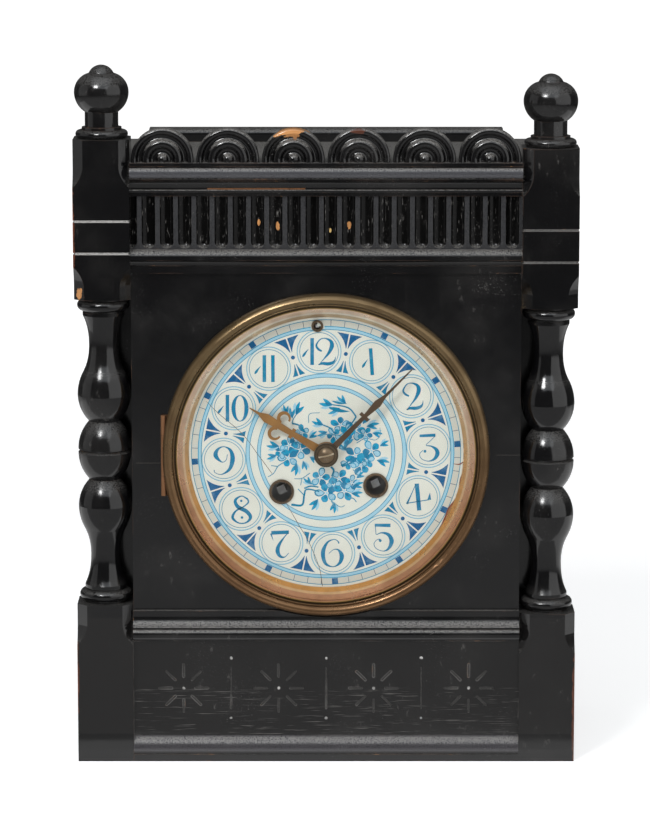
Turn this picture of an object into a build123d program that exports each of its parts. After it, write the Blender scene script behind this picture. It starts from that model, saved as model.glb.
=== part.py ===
"""Ebonised mantel clock: a planted-moulding case with two turned corner posts, a hinged bezel
and a round two-train movement with strike. Millimetres, +X right, +Y back, +Z up.
The origin is the middle of the footprint, on the surface that the clock stands on."""
import os
from math import atan2, cos, hypot, pi, radians, sin, sqrt

from build123d import *

os.makedirs("parts", exist_ok=True)

# Case
case_width = 223.0
case_depth = 104.0
post_width = 25.0
panel_recess = 6.0
panel_thickness = 9.0
board_thickness = 8.0
top_thickness = 8.4
side_inset = 7.5
stile_lap = 8.5
stile_depth = 10.0
plinth_height = 11.4
base_height = 43.5
dado_height = 13.7
field_height = 152.6
architrave_height = 10.6
frieze_height = 23.6
cornice_height = 15.0
base_panel_thickness = 3.0
frieze_proud = 0.5

# Mouldings: how far each member stands out from the front panel, and its height
cornice_foot = 1.6
cornice_foot_height = 1.6
cornice_bead = 2.2
cornice_bead_height = 1.4
cornice_cove = 4.6
cornice_cove_height = 4.2
cornice_edge = 5.6
cornice_edge_height = 0.8
cornice_quirk = 4.2
cornice_quirk_height = 0.7
cornice_lip = 5.0
cornice_lip_height = 1.5
architrave_foot = 1.9
architrave_foot_height = 3.4
architrave_hollow = 1.3
architrave_hollow_height = 2.6
architrave_edge = 4.2
architrave_edge_height = 0.8
dado_lip = 2.5
dado_lip_height = 1.1
dado_cove = 4.6
dado_cove_height = 5.6
dado_bead = 4.9
dado_bead_height = 1.4
dado_torus_seat = 4.7
dado_torus_height = 4.9
dado_foot = 3.2
plinth_fillet = 6.0
plinth_fillet_height = 3.2
plinth_quirk = 5.3
plinth_quirk_height = 0.5
plinth_ovolo_foot = 5.9
plinth_ovolo_top = 3.3
plinth_top_fillet = 0.6

# Carving of the base panel: stars of gouge cuts between upright lines that end in dots
star_count = 4
star_pitch = 42.7
star_rays = 8
star_inner = 4.8
star_outer = 11.4
star_dot_radius = 0.6
cut_width = 1.1
cut_depth = 0.4
divider_length = 19.5
divider_width = 0.7
divider_dot_rise = 13.8

# Flutes of the frieze
flute_pitch = 8.03
flute_width = 6.1
flute_depth = 1.7
flute_foot = 0.3
last_flute_inset = 4.3

# Posts and finials
base_block_height = 71.7
column_height = 137.8
upper_block_height = 71.0
right_post_drop = 3.9
corner_chamfer = 4.6
upper_top_stop = 21.0
upper_foot_stop = 15.0
base_stop = 18.0
stop_run = 8.5
groove_width = 0.9
groove_depth = 0.6
upper_groove_rise = 35.2
lower_groove_rise = 20.9
ball_radius = 11.8
ball_groove_width = 1.6
ball_groove_depth = 1.0
ball_shoulder_radius = 10.7
ball_shoulder_at = 7.0
neck_radius = 6.9
neck_at = 13.2
belly_radius = 11.9
belly_at = 25.0
belly_shoulder_radius = 10.0
belly_shoulder_at = 17.6
swell_radius = 9.0
swell_at = 36.0
waist_radius = 6.6
waist_at = 49.5
flare_radius = 9.3
collar_height = 1.4
collar_groove = 0.8
collar_groove_radius = 8.5
ring_radius = 11.7
ring_height = 4.8
ring_neck_radius = 9.6
ring_gap = 0.9
finial_ring_radius = 11.6
finial_ring_height = 3.6
finial_step_radius = 8.8
finial_step_height = 1.3
finial_neck_radius = 7.4
finial_neck_height = 6.6
finial_ball_radius = 12.05
finial_ball_lower = 8.7
finial_ball_upper = 8.4
finial_button_radius = 5.5
finial_button_height = 3.6
dowel_radius = 3.5
dowel_length = 12.0
dowel_clearance = 0.1

# Cresting and gallery
roundel_count = 6
roundel_radius = 13.8
roundel_rise = 1.2
roundel_depth = 7.0
roundel_setback = 2.5
rim_width = 2.5
hollow_width = 2.6
torus_width = 3.2
dish_width = 3.5
roundel_hollow = 1.5
roundel_round = 0.9
gallery_height = 5.8
gallery_depth = 14.0
gallery_inset = 4.9
gallery_round = 2.4

# Dial, bezel and glass
bezel_headroom = 9.0
bezel_foot_lap = 2.2
dial_recess = 5.0
dial_tilt = 3.9
dial_margin = 6.4
dial_thickness = 2.2
pan_thickness = 1.0
pan_wall = 1.0
pan_clearance = 1.4
pan_opening_radius = 33.0
pan_flange = 2.5
pan_flange_thickness = 0.8
hole_clearance = 0.2
bezel_height = 5.4
bezel_wall = 1.0
bezel_gap = 0.3
bezel_lip_width = 1.0
bezel_lip_thickness = 0.8
bezel_skirt_wall = 0.65
bezel_skirt_length = 1.6
bezel_crest_inset = 2.3
bezel_bead_inset = 4.5
bezel_bead_width = 0.9
bezel_bead_drop = 1.9
bezel_side_height = 1.8
bezel_relief = 0.6
sight_margin = 11.5
sight_thickness = 0.8
sight_gap = 0.2
glass_margin = 6.1
glass_thickness = 1.2
glass_rise = 6.2
glass_clearance = 0.15
hinge_pin_radius = 0.6
hinge_knuckle_radius = 1.2
hinge_knuckle_length = 9.0
hinge_moving_length = 18.0
hinge_inset = 0.5
running_clearance = 0.05
seat_clearance = 0.02
side_clearance = 0.2

# Winding holes, regulator and hands
winding_u = 21.1
winding_v = -16.3
winding_hole_radius = 5.15
eyelet_wall = 0.55
eyelet_flange = 0.5
eyelet_height = 0.7
regulator_inset = 3.9
regulator_radius = 1.1
regulator_square = 1.4
regulator_square_length = 3.0
regulator_collar = 1.2
regulator_eyelet_radius = 2.2
dial_centre_radius = 3.7
hand_thickness = 0.9
hour_hand_gap = 2.2
minute_hand_gap = 1.4
hour_hand_length = 40.0
minute_hand_margin = 6.9
hour_hand_angle = -58.6
minute_hand_angle = 44.7
hand_boss_radius = 5.4
hand_nut_radius = 4.7
hand_nut_height = 2.8
hand_slot_width = 0.6
hand_slot_depth = 1.2
hand_slot_angle = -16.0
hand_collar_height = 1.6
hand_tip_half = 0.2
hour_root_half = 2.2
hour_arm_half = 1.2
hour_collar = 17.0
hour_collar_half = 2.3
hour_blade = 31.3
hour_blade_half = 2.0
hour_needle = 35.0
hour_needle_half = 0.6
scroll_radius = 3.1
scroll_width = 1.2
scroll_taper = 0.35
scroll_mouth = 2.6
scroll_u = 4.0
scroll_at = 24.5
minute_root_half = 1.5
minute_arm_half = 0.9
minute_collar = 23.4
minute_collar_half = 2.4
minute_blade = 32.6
minute_blade_half = 1.7
minute_needle = 37.4
minute_needle_half = 0.65
pipe_wall = 0.75
cannon_pipe_radius = 2.3
cannon_tip_radius = 1.5
cannon_tip_length = 1.4

# Movement frame
motion_space = 8.8
plate_radius = 46.0
plate_thickness = 2.2
plate_gap = 30.0
pillar_radius = 2.8
pillar_tenon_radius = 1.7
pillar_tenon = 1.6
pillar_pitch_radius = 41.0
pillar_bearings = [0, 60, 120, 180, 270]
foot_radius = 2.2
foot_pitch_radius = 39.0
foot_bearings = [45, 135, 225, 315]
arbor_radius = 1.2
pivot_radius = 0.7
slim_arbor_radius = 0.6
slim_pivot_radius = 0.4
end_shake = 0.15

# Trains: tooth counts and modules, wheel then pinion
great_teeth = 80
great_pinion_leaves = 12
great_module = 0.5
second_teeth = 72
centre_leaves = 12
second_module = 0.5
centre_teeth = 84
third_leaves = 7
centre_module = 0.343
third_teeth = 78
escape_leaves = 7
third_module = 0.27
escape_teeth = 40
escape_radius = 8.5
escape_tooth = 1.3
pin_teeth = 60
locking_leaves = 8
pin_module = 0.45
locking_teeth = 48
fly_leaves = 7
locking_module = 0.35
minute_teeth = 36
cannon_leaves = 12
cannon_module = 0.6
hour_teeth = 40
minute_leaves = 10
tooth_addendum = 0.85
tooth_dedendum = 1.10
tooth_root_share = 0.29
tooth_tip_share = 0.08
leaf_addendum = 0.60
leaf_dedendum = 1.25
leaf_root_share = 0.24
leaf_tip_share = 0.07
saw_root_share = 0.25
saw_tip_share = 0.12
crossing_arms = 5
crossing_width = 1.8
crossing_rim = 1.8
crossing_hub = 3.4
leaf_overhang = 0.8
wheel_thickness = 1.5
motion_thickness = 1.2
minute_wheel_setback = 2.4
minute_leaf_length = 4.2
minute_stud_length = 7.2
cannon_overlap = 0.5
great_thickness = 2.0
barrel_radius = 17.5
barrel_length = 16.0
second_setback = 2.0
great_setback = 6.0
centre_wheel_inset = 4.0
third_wheel_inset = 10.0
escape_inset = 3.0
locking_inset = 6.0
third_bearing = 103.3
locking_bearing = 140.0
fly_bearing = 60.0
fly_length = 15.0
fly_width = 10.0
fly_thickness = 0.5
pin_count = 8
pin_circle_radius = 11.0
lifting_pin_radius = 0.6
lifting_pin_length = 2.0
winding_square = 3.6
winding_square_length = 4.6
winding_arbor_radius = 2.6
winding_square_turn = 20.0
winding_pivot_radius = 1.7
ratchet_radius = 8.0
ratchet_root_radius = 7.0
ratchet_teeth = 18
ratchet_thickness = 1.8
ratchet_gap = 0.6
click_length = 6.0
click_clearance = 0.3
click_nose_bearing = 60.0
click_u = 9.6
click_v = 5.5
click_stud_radius = 1.5

# Pendulum, bell and hammer
pallet_rise = 12.0
pallet_hole_radius = 3.0
pallet_lift = 0.9
pallet_thickness = 1.8
nib_bearing = 48.0
nib_width = 1.9
nib_height = 3.5
nib_lean = 0.5
pallet_hub = 1.8
pendulum_length = 112.0
pendulum_gap = 7.6
rod_radius = 1.1
bob_radius = 17.0
bob_thickness = 8.0
rating_nut_radius = 3.2
rating_nut_height = 3.0
suspension_thickness = 0.3
suspension_width = 4.6
suspension_rise = 8.0
suspension_drop = 5.0
crutch_length = 30.0
crutch_thickness = 1.5
crutch_width = 2.4
fork_clearance = 0.15
fork_prong = 1.2
cock_thickness = 3.0
cock_width = 14.0
cock_foot = 6.0
cock_head = 4.0
cock_arm_width = 6.0
cock_arm_rise = 3.4
cock_arm_height = 7.0
cock_slot_width = 1.4
cock_slot_height = 5.0
chop_width = 4.0
chop_height = 5.0
bob_edge = 1.2
thread_length = 3.0
bell_radius = 28.0
bell_height = 17.0
bell_wall = 1.5
bell_u = 12.0
bell_v = -14.0
bell_space = 14.6
bell_post_radius = 2.2
bell_screw_radius = 1.5
bell_nut_radius = 3.0
bell_nut_height = 2.0
hammer_u = -38.0
hammer_v = 6.5
hammer_head_radius = 3.0
hammer_gap = 0.8
hammer_head_length = 5.0
hammer_arm_width = 1.8
hammer_arm_thickness = 1.5
hammer_tail = 5.5

# Rear ring and back door
back_hole_radius = 62.0
rear_ring_wall = 1.2
rear_flange = 8.4
rear_flange_thickness = 1.2
rear_ring_clearance = 0.2
door_overlap = 4.0
door_thickness = 1.0
door_rise = 1.4
door_rim = 6.4
door_knuckle_length = 8.0
door_moving_length = 12.0
door_gap = 0.2
knob_radius = 2.6
knob_height = 3.2
knob_inset = 3.4
strap_bearing = 20.0
strap_radius = 58.0
strap_thickness = 3.0
strap_width = 9.0
lug_thickness = 2.0
lug_length = 7.2
strap_screw_radius = 1.5
strap_screw_head = 2.6

# Places worked out from the sizes above
front_y = -case_depth / 2
back_y = case_depth / 2
panel_y = front_y + panel_recess
panel_back_y = panel_y + panel_thickness
frieze_y = panel_y - frieze_proud
post_x = (case_width - post_width) / 2
post_y = front_y + post_width / 2
post_back_y = front_y + post_width
panel_half = case_width / 2 - post_width
side_x = case_width / 2 - side_inset
side_inner_x = side_x - board_thickness
back_board_y = back_y - board_thickness
dado_z = plinth_height + base_height
field_z = dado_z + dado_height
architrave_z = field_z + field_height
frieze_z = architrave_z + architrave_height
cornice_z = frieze_z + frieze_height
top_z = cornice_z + cornice_height
shelf_z = top_z - top_thickness
bezel_radius = (field_height - bezel_headroom + bezel_foot_lap) / 2
dial_radius = bezel_radius - dial_margin
glass_radius = bezel_radius - glass_margin
sight_radius = bezel_radius - sight_margin
minute_hand_length = sight_radius - minute_hand_margin
regulator_v = sight_radius - regulator_inset
dial_z = field_z + bezel_radius - bezel_foot_lap
dial_y = panel_y + dial_recess
dial_back_y = dial_y + dial_thickness
pan_back_y = dial_back_y + pan_thickness
plate_front_y = pan_back_y + motion_space
plate_inner_y = plate_front_y + plate_thickness
back_plate_y = plate_inner_y + plate_gap
back_plate_rear_y = back_plate_y + plate_thickness
pan_inner_radius = dial_radius + pan_clearance
pan_outer_radius = pan_inner_radius + pan_wall
hour_pipe_bore = cannon_pipe_radius + running_clearance
hour_pipe_radius = hour_pipe_bore + pipe_wall
panel_hole_radius = pan_outer_radius + hole_clearance
dial_axis = Axis((0, 0, dial_z), (0, 1, 0))
tilt = radians(dial_tilt)


def facing(y):
    """Plane at depth y seen from the front, turned with the dial: x right, y up, normal to the viewer."""
    return Plane(origin=(0, y, dial_z), x_dir=(cos(tilt), 0, sin(tilt)), z_dir=(0, -1, 0))


def upright(y, x=0.0, z=0.0):
    """Plane at depth y seen from the front and not turned."""
    return Plane(origin=(x, y, z), x_dir=(1, 0, 0), z_dir=(0, -1, 0))


def place(at):
    """World x and z of a point of the turned dial plane."""
    return (at[0] * cos(tilt) - at[1] * sin(tilt), dial_z + at[0] * sin(tilt) + at[1] * cos(tilt))


def polar(start, distance, bearing):
    """Point at a distance and a bearing in degrees from the start."""
    angle = radians(bearing)
    return (start[0] + distance * cos(angle), start[1] + distance * sin(angle))


def bearing_of(start, end):
    """Angle in radians of the line from start to end."""
    return atan2(end[1] - start[1], end[0] - start[0])


def meet(first, first_reach, second, second_reach, side):
    """The point at given reaches from two centres, on the left (1) or right (-1) of the line between them."""
    span = hypot(second[0] - first[0], second[1] - first[1])
    along = (first_reach**2 - second_reach**2 + span**2) / (2 * span)
    across = side * sqrt(first_reach**2 - along**2)
    ux, uy = (second[0] - first[0]) / span, (second[1] - first[1]) / span
    return (first[0] + along * ux - across * uy, first[1] + along * uy + across * ux)


def dome_point(radius, height):
    """Point half way along the arc of a cap, from its rim (radius, 0) to its crown (0, height)."""
    sphere = (radius**2 + height**2) / (2 * height)
    half_angle = atan2(radius, sphere - height) / 2
    return (sphere * sin(half_angle), height - sphere + sphere * cos(half_angle))


def rod(at, front, back, radius, mode=Mode.ADD):
    """Cylinder through the movement at a point of the dial plane, from depth front to depth back."""
    with BuildSketch(facing(back)) as section:
        with Locations(at):
            Circle(radius)
    extrude(to_extrude=section.sketch, amount=back - front, mode=mode)


def bar(corner, size, mode=Mode.ADD):
    """Box from its lowest corner, in world directions."""
    with BuildSketch(Plane(origin=corner)) as section:
        Rectangle(size[0], size[1], align=(Align.MIN, Align.MIN))
    extrude(to_extrude=section.sketch, amount=size[2], mode=mode)


def save(piece, name):
    """Label the finished piece and write it."""
    piece.part.label = name
    export_step(piece.part, f"parts/{name}.step")


# Boards of the case. The top board reaches forward between the posts.
with BuildPart() as bottom_board:
    bar((-side_inner_x, post_back_y, 0), (2 * side_inner_x, back_board_y - post_back_y, board_thickness))
    bar((-panel_half, panel_back_y, 0), (2 * panel_half, post_back_y - panel_back_y, board_thickness))
save(bottom_board, "bottom_board")

with BuildPart() as top_board:
    bar((-side_x, post_back_y, shelf_z), (2 * side_x, back_y - post_back_y, top_thickness))
    bar((-panel_half, frieze_y, shelf_z), (2 * panel_half, post_back_y - frieze_y, top_thickness))
save(top_board, "top_board")

for side_name, start_x in (("left", -side_x), ("right", side_inner_x)):
    with BuildPart() as side_panel:
        bar((start_x, post_back_y, 0), (board_thickness, back_y - post_back_y, shelf_z))
    save(side_panel, f"{side_name}_side_panel")

# L-section stiles that tie the front panel, the post and the side panel together
with BuildPart() as corner_stiles:
    stile_height = shelf_z - board_thickness
    with BuildSketch(Plane.XY.offset(board_thickness)):
        with BuildLine():
            Polyline(
                (panel_half - stile_lap, panel_back_y),
                (panel_half, panel_back_y),
                (panel_half, post_back_y),
                (side_inner_x, post_back_y),
                (side_inner_x, post_back_y + stile_depth),
                (panel_half - stile_lap, post_back_y + stile_depth),
                close=True,
            )
        make_face()
    extrude(amount=stile_height)
    mirror(about=Plane.YZ)
save(corner_stiles, "corner_stiles")

with BuildPart() as back_board:
    bar((-side_inner_x, back_board_y, 0), (2 * side_inner_x, board_thickness, shelf_z))
    with BuildSketch(upright(back_y, z=dial_z)):
        Circle(back_hole_radius)
    extrude(amount=board_thickness, mode=Mode.SUBTRACT)
save(back_board, "back_board")

with BuildPart() as front_panel:
    bar((-panel_half, panel_y, 0), (2 * panel_half, panel_thickness, frieze_z))
    with BuildSketch(upright(panel_back_y, z=dial_z)):
        Circle(panel_hole_radius)
    extrude(amount=panel_thickness, mode=Mode.SUBTRACT)
save(front_panel, "front_panel")

with BuildPart() as base_panel:
    bar(
        (-panel_half, panel_y - base_panel_thickness, plinth_height),
        (2 * panel_half, base_panel_thickness, base_height),
    )
    with BuildSketch(upright(panel_y - base_panel_thickness + cut_depth, 0, plinth_height + base_height / 2)):
        with GridLocations(star_pitch, 0, star_count, 1):
            Circle(star_dot_radius)
            with PolarLocations((star_inner + star_outer) / 2, star_rays):
                SlotOverall(star_outer - star_inner, cut_width)
        with GridLocations(star_pitch, 0, star_count - 1, 1):
            SlotOverall(divider_length, divider_width, rotation=90)
        with GridLocations(star_pitch, 2 * divider_dot_rise, star_count - 1, 2):
            Circle(star_dot_radius)
    extrude(amount=cut_depth, mode=Mode.SUBTRACT)
save(base_panel, "base_panel")

# Frieze board: flutes gouged side by side, each ending in a scooped foot
with BuildPart() as frieze_panel:
    flute_radius = ((flute_width / 2) ** 2 + flute_depth**2) / (2 * flute_depth)
    flute_axis_y = frieze_y + flute_depth - flute_radius
    flute_start = frieze_z + flute_foot + flute_width / 2
    flute_count = int(2 * panel_half / flute_pitch) + 1
    bar((-panel_half, frieze_y, frieze_z), (2 * panel_half, panel_back_y - frieze_y, shelf_z - frieze_z))
    flute_places = [
        (panel_half - last_flute_inset - flute_pitch * step, flute_axis_y, flute_start)
        for step in range(flute_count)
    ]
    with Locations(*flute_places):
        Cylinder(
            flute_radius,
            frieze_height,
            align=(Align.CENTER, Align.CENTER, Align.MIN),
            mode=Mode.SUBTRACT,
        )
        Sphere(flute_radius, mode=Mode.SUBTRACT)
save(frieze_panel, "frieze_panel")


def out(distance, z):
    """Point of a moulding's section: distance out from the front panel, at height z."""
    return (panel_y - distance, z)


def between(start, end, share_y, share_z):
    """Point inside the corner box of two section points, by its share along each side."""
    return (start[0] + share_y * (end[0] - start[0]), start[1] + share_z * (end[1] - start[1]))


quarter = 1 / sqrt(2)

# Cornice: foot fillet, bead, cove, edge, torus, quirk and lip
with BuildPart() as cornice_moulding:
    bead_z = cornice_z + cornice_foot_height
    cove_z = bead_z + cornice_bead_height
    edge_z = cove_z + cornice_cove_height
    torus_z = edge_z + cornice_edge_height
    lip_z = top_z - cornice_lip_height
    quirk_z = lip_z - cornice_quirk_height
    with BuildSketch(Plane.YZ):
        with BuildLine():
            Polyline(
                out(cornice_quirk, quirk_z),
                out(cornice_quirk, lip_z),
                out(cornice_lip, lip_z),
                out(cornice_lip, top_z),
                out(frieze_proud, top_z),
                out(frieze_proud, cornice_z),
                out(cornice_foot, cornice_z),
                out(cornice_foot, bead_z),
            )
            ThreePointArc(
                out(cornice_foot, bead_z), out(cornice_bead, (bead_z + cove_z) / 2), out(cornice_foot, cove_z)
            )
            cove_start, cove_end = out(cornice_foot, cove_z), out(cornice_cove, edge_z)
            ThreePointArc(cove_start, between(cove_start, cove_end, 1 - quarter, quarter), cove_end)
            torus_start, torus_end = out(cornice_cove, torus_z), out(cornice_quirk, quirk_z)
            Polyline(cove_end, out(cornice_edge, edge_z), out(cornice_edge, torus_z), torus_start)
            ThreePointArc(torus_start, out(cornice_edge, (torus_z + quirk_z) / 2), torus_end)
        make_face()
    extrude(amount=panel_half, both=True)
save(cornice_moulding, "cornice_moulding")

# Architrave: foot fillet, hollow and a sloping weathered top that runs up to the frieze
with BuildPart() as architrave_moulding:
    hollow_z = architrave_z + architrave_foot_height
    nose_z = hollow_z + architrave_hollow_height
    slope_z = nose_z + architrave_edge_height
    with BuildSketch(Plane.YZ):
        with BuildLine():
            Polyline(
                out(0, frieze_z),
                out(0, architrave_z),
                out(architrave_foot, architrave_z),
                out(architrave_foot, hollow_z),
                out(architrave_hollow, hollow_z),
            )
            hollow_start, hollow_end = out(architrave_hollow, hollow_z), out(architrave_edge, nose_z)
            ThreePointArc(hollow_start, between(hollow_start, hollow_end, 1 - quarter, quarter), hollow_end)
            Line(out(architrave_edge, nose_z), out(architrave_edge, slope_z))
            slope_start, slope_end = out(architrave_edge, slope_z), out(frieze_proud, frieze_z)
            ThreePointArc(slope_start, between(slope_start, slope_end, 1 - quarter, quarter), slope_end)
            Line(out(frieze_proud, frieze_z), out(0, frieze_z))
        make_face()
    extrude(amount=panel_half, both=True)
save(architrave_moulding, "architrave_moulding")

# Dado moulding: lip, cove, bead and torus, scribed away where the bezel overlaps it
with BuildPart() as dado_moulding:
    dado_cove_top = field_z - dado_lip_height
    dado_cove_foot = dado_cove_top - dado_cove_height
    dado_bead_foot = dado_cove_foot - dado_bead_height
    dado_torus_foot = dado_bead_foot - dado_torus_height
    with BuildSketch(Plane.YZ):
        with BuildLine():
            Polyline(
                out(dado_torus_seat, dado_torus_foot),
                out(dado_foot, dado_torus_foot),
                out(dado_foot, dado_z),
                out(0, dado_z),
                out(0, field_z),
                out(dado_lip, field_z),
                out(dado_lip, dado_cove_top),
            )
            scotia_start, scotia_end = out(dado_lip, dado_cove_top), out(dado_cove, dado_cove_foot)
            ThreePointArc(scotia_start, between(scotia_start, scotia_end, 1 - quarter, quarter), scotia_end)
            Line(out(dado_cove, dado_cove_foot), out(dado_bead, dado_cove_foot))
            ThreePointArc(
                out(dado_bead, dado_cove_foot),
                out(dado_bead + dado_bead_height / 3, (dado_cove_foot + dado_bead_foot) / 2),
                out(dado_torus_seat, dado_bead_foot),
            )
            ThreePointArc(
                out(dado_torus_seat, dado_bead_foot),
                out(panel_recess, (dado_bead_foot + dado_torus_foot) / 2),
                out(dado_torus_seat, dado_torus_foot),
            )
        make_face()
    extrude(amount=panel_half, both=True)
    with BuildSketch(upright(panel_y, z=dial_z)):
        Circle(bezel_radius + bezel_relief)
    extrude(amount=panel_recess, mode=Mode.SUBTRACT)
save(dado_moulding, "dado_moulding")

# Plinth: square fillet on the floor, quirk and ovolo under the base panel
with BuildPart() as plinth_moulding:
    ovolo_z = plinth_fillet_height + plinth_quirk_height
    ovolo_top_z = plinth_height - plinth_top_fillet
    with BuildSketch(Plane.YZ):
        with BuildLine():
            Polyline(
                out(plinth_ovolo_top, ovolo_top_z),
                out(plinth_ovolo_top, plinth_height),
                out(0, plinth_height),
                out(0, 0),
                out(plinth_fillet, 0),
                out(plinth_fillet, plinth_fillet_height),
                out(plinth_quirk, plinth_fillet_height),
                out(plinth_quirk, ovolo_z),
                out(plinth_ovolo_foot, ovolo_z),
            )
            ovolo_start, ovolo_end = out(plinth_ovolo_foot, ovolo_z), out(plinth_ovolo_top, ovolo_top_z)
            ThreePointArc(ovolo_start, between(ovolo_start, ovolo_end, 1 - quarter, quarter), ovolo_end)
        make_face()
    extrude(amount=panel_half, both=True)
save(plinth_moulding, "plinth_moulding")


def stopped_chamfer(x, y, level, reach):
    """Cut along one vertical edge of a post, full at the level and dying out over stop_run at the reach."""
    inward_x = quarter if x < post_x * x / abs(x) else -quarter
    inward_y = quarter if y < post_y else -quarter
    depth = corner_chamfer * quarter
    run = stop_run * reach / abs(reach)
    plane = Plane(origin=(x, y, level), x_dir=(inward_x, inward_y, 0), z_dir=(inward_y, -inward_x, 0))
    with BuildSketch(plane) as profile:
        with BuildLine():
            Polyline((depth, reach - run), (depth, 0), (-depth, 0), (-depth, reach), (0, reach))
            ThreePointArc((0, reach), (depth * quarter, reach - run / 2), (depth, reach - run))
        make_face()
    extrude(to_extrude=profile.sketch, amount=corner_chamfer, both=True, mode=Mode.SUBTRACT)


# Each post is one turned stick: base block, double baluster, upper block
for side_name, axis_x, base_block in (
    ("left", -post_x, base_block_height),
    ("right", post_x, base_block_height - right_post_drop),
):
    column_middle = base_block + column_height / 2
    block_z = base_block + column_height
    post_top = block_z + upper_block_height
    ring_end = column_height / 2 - ring_gap
    ring_start = ring_end - ring_height
    collar_end = ring_start - collar_groove
    flare_at = collar_end - collar_height
    with BuildPart() as post:
        with BuildSketch(upright(post_y, axis_x, column_middle)):
            with BuildLine():
                Polyline(
                    (ring_neck_radius, ring_end),
                    (ring_neck_radius, column_height / 2),
                    (0, column_height / 2),
                    (0, 0),
                    (ball_radius - ball_groove_depth, 0),
                    (ball_radius, ball_groove_width / 2),
                )
                neck, belly = (neck_radius, neck_at), (belly_radius, belly_at)
                ThreePointArc(
                    (ball_radius, ball_groove_width / 2), (ball_shoulder_radius, ball_shoulder_at), neck
                )
                ThreePointArc(neck, (belly_shoulder_radius, belly_shoulder_at), belly)
                TangentArc(belly, (swell_radius, swell_at), tangent=(0, 1))
                Spline(
                    (swell_radius, swell_at), (waist_radius, waist_at), (flare_radius, flare_at),
                    tangents=((-1, 2), (1, 2)),
                )
                Polyline(
                    (flare_radius, flare_at),
                    (flare_radius, collar_end),
                    (collar_groove_radius, collar_end),
                    (collar_groove_radius, ring_start),
                    (ring_neck_radius, ring_start),
                )
                ThreePointArc(
                    (ring_neck_radius, ring_start),
                    (ring_radius, (ring_start + ring_end) / 2),
                    (ring_neck_radius, ring_end),
                )
            make_face()
        revolve(axis=Axis((axis_x, post_y, 0), (0, 0, 1)))
        mirror(about=Plane.XY.offset(column_middle))
        with BuildSketch(Plane(origin=(axis_x, post_y, 0))):
            Rectangle(post_width, post_width)
        extrude(amount=base_block)
        with BuildSketch(Plane(origin=(axis_x, post_y, block_z))):
            Rectangle(post_width, post_width)
        extrude(amount=upper_block_height)
        for corner_x in (axis_x - post_width / 2, axis_x + post_width / 2):
            for corner_y in (front_y, post_back_y):
                stopped_chamfer(corner_x, corner_y, post_top, -upper_top_stop)
                stopped_chamfer(corner_x, corner_y, block_z, upper_foot_stop)
                stopped_chamfer(corner_x, corner_y, base_block, -base_stop)
        for groove_rise in (upper_groove_rise, lower_groove_rise):
            groove_z = block_z + groove_rise - groove_width / 2
            with BuildSketch(Plane(origin=(axis_x, post_y, groove_z))):
                Rectangle(2 * post_width, 2 * post_width)
                Rectangle(post_width - 2 * groove_depth, post_width - 2 * groove_depth, mode=Mode.SUBTRACT)
            extrude(amount=groove_width, mode=Mode.SUBTRACT)
        with BuildSketch(Plane(origin=(axis_x, post_y, post_top - dowel_length))):
            Circle(dowel_radius + dowel_clearance)
        extrude(amount=dowel_length, mode=Mode.SUBTRACT)
    save(post, f"{side_name}_post")

    step_z = finial_ring_height
    neck_z = step_z + finial_step_height
    ball_z = neck_z + finial_neck_height
    ball_middle = ball_z + finial_ball_lower
    button_z = ball_middle + finial_ball_upper
    with BuildPart() as finial:
        with BuildSketch(upright(post_y, axis_x, post_top)):
            with BuildLine():
                Polyline(
                    (0, button_z + finial_button_height),
                    (0, -dowel_length + dowel_clearance),
                    (dowel_radius, -dowel_length + dowel_clearance),
                    (dowel_radius, 0),
                    (finial_ring_radius - finial_ring_height / 2, 0),
                )
                ThreePointArc(
                    (finial_ring_radius - finial_ring_height / 2, 0),
                    (finial_ring_radius, finial_ring_height / 2),
                    (finial_ring_radius - finial_ring_height / 2, finial_ring_height),
                )
                Polyline(
                    (finial_ring_radius - finial_ring_height / 2, finial_ring_height),
                    (finial_step_radius, step_z),
                    (finial_step_radius, neck_z),
                    (finial_neck_radius, neck_z),
                    (finial_neck_radius, ball_z),
                )
                TangentArc((finial_ball_radius, ball_middle), (finial_neck_radius, ball_z), tangent=(0, -1))
                TangentArc((finial_ball_radius, ball_middle), (finial_button_radius, button_z), tangent=(0, 1))
                button_x, button_rise = dome_point(finial_button_radius, finial_button_height)
                ThreePointArc(
                    (finial_button_radius, button_z),
                    (button_x, button_z + button_rise),
                    (0, button_z + finial_button_height),
                )
            make_face()
        revolve(axis=Axis((axis_x, post_y, 0), (0, 0, 1)))
    save(finial, f"{side_name}_finial")

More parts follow.
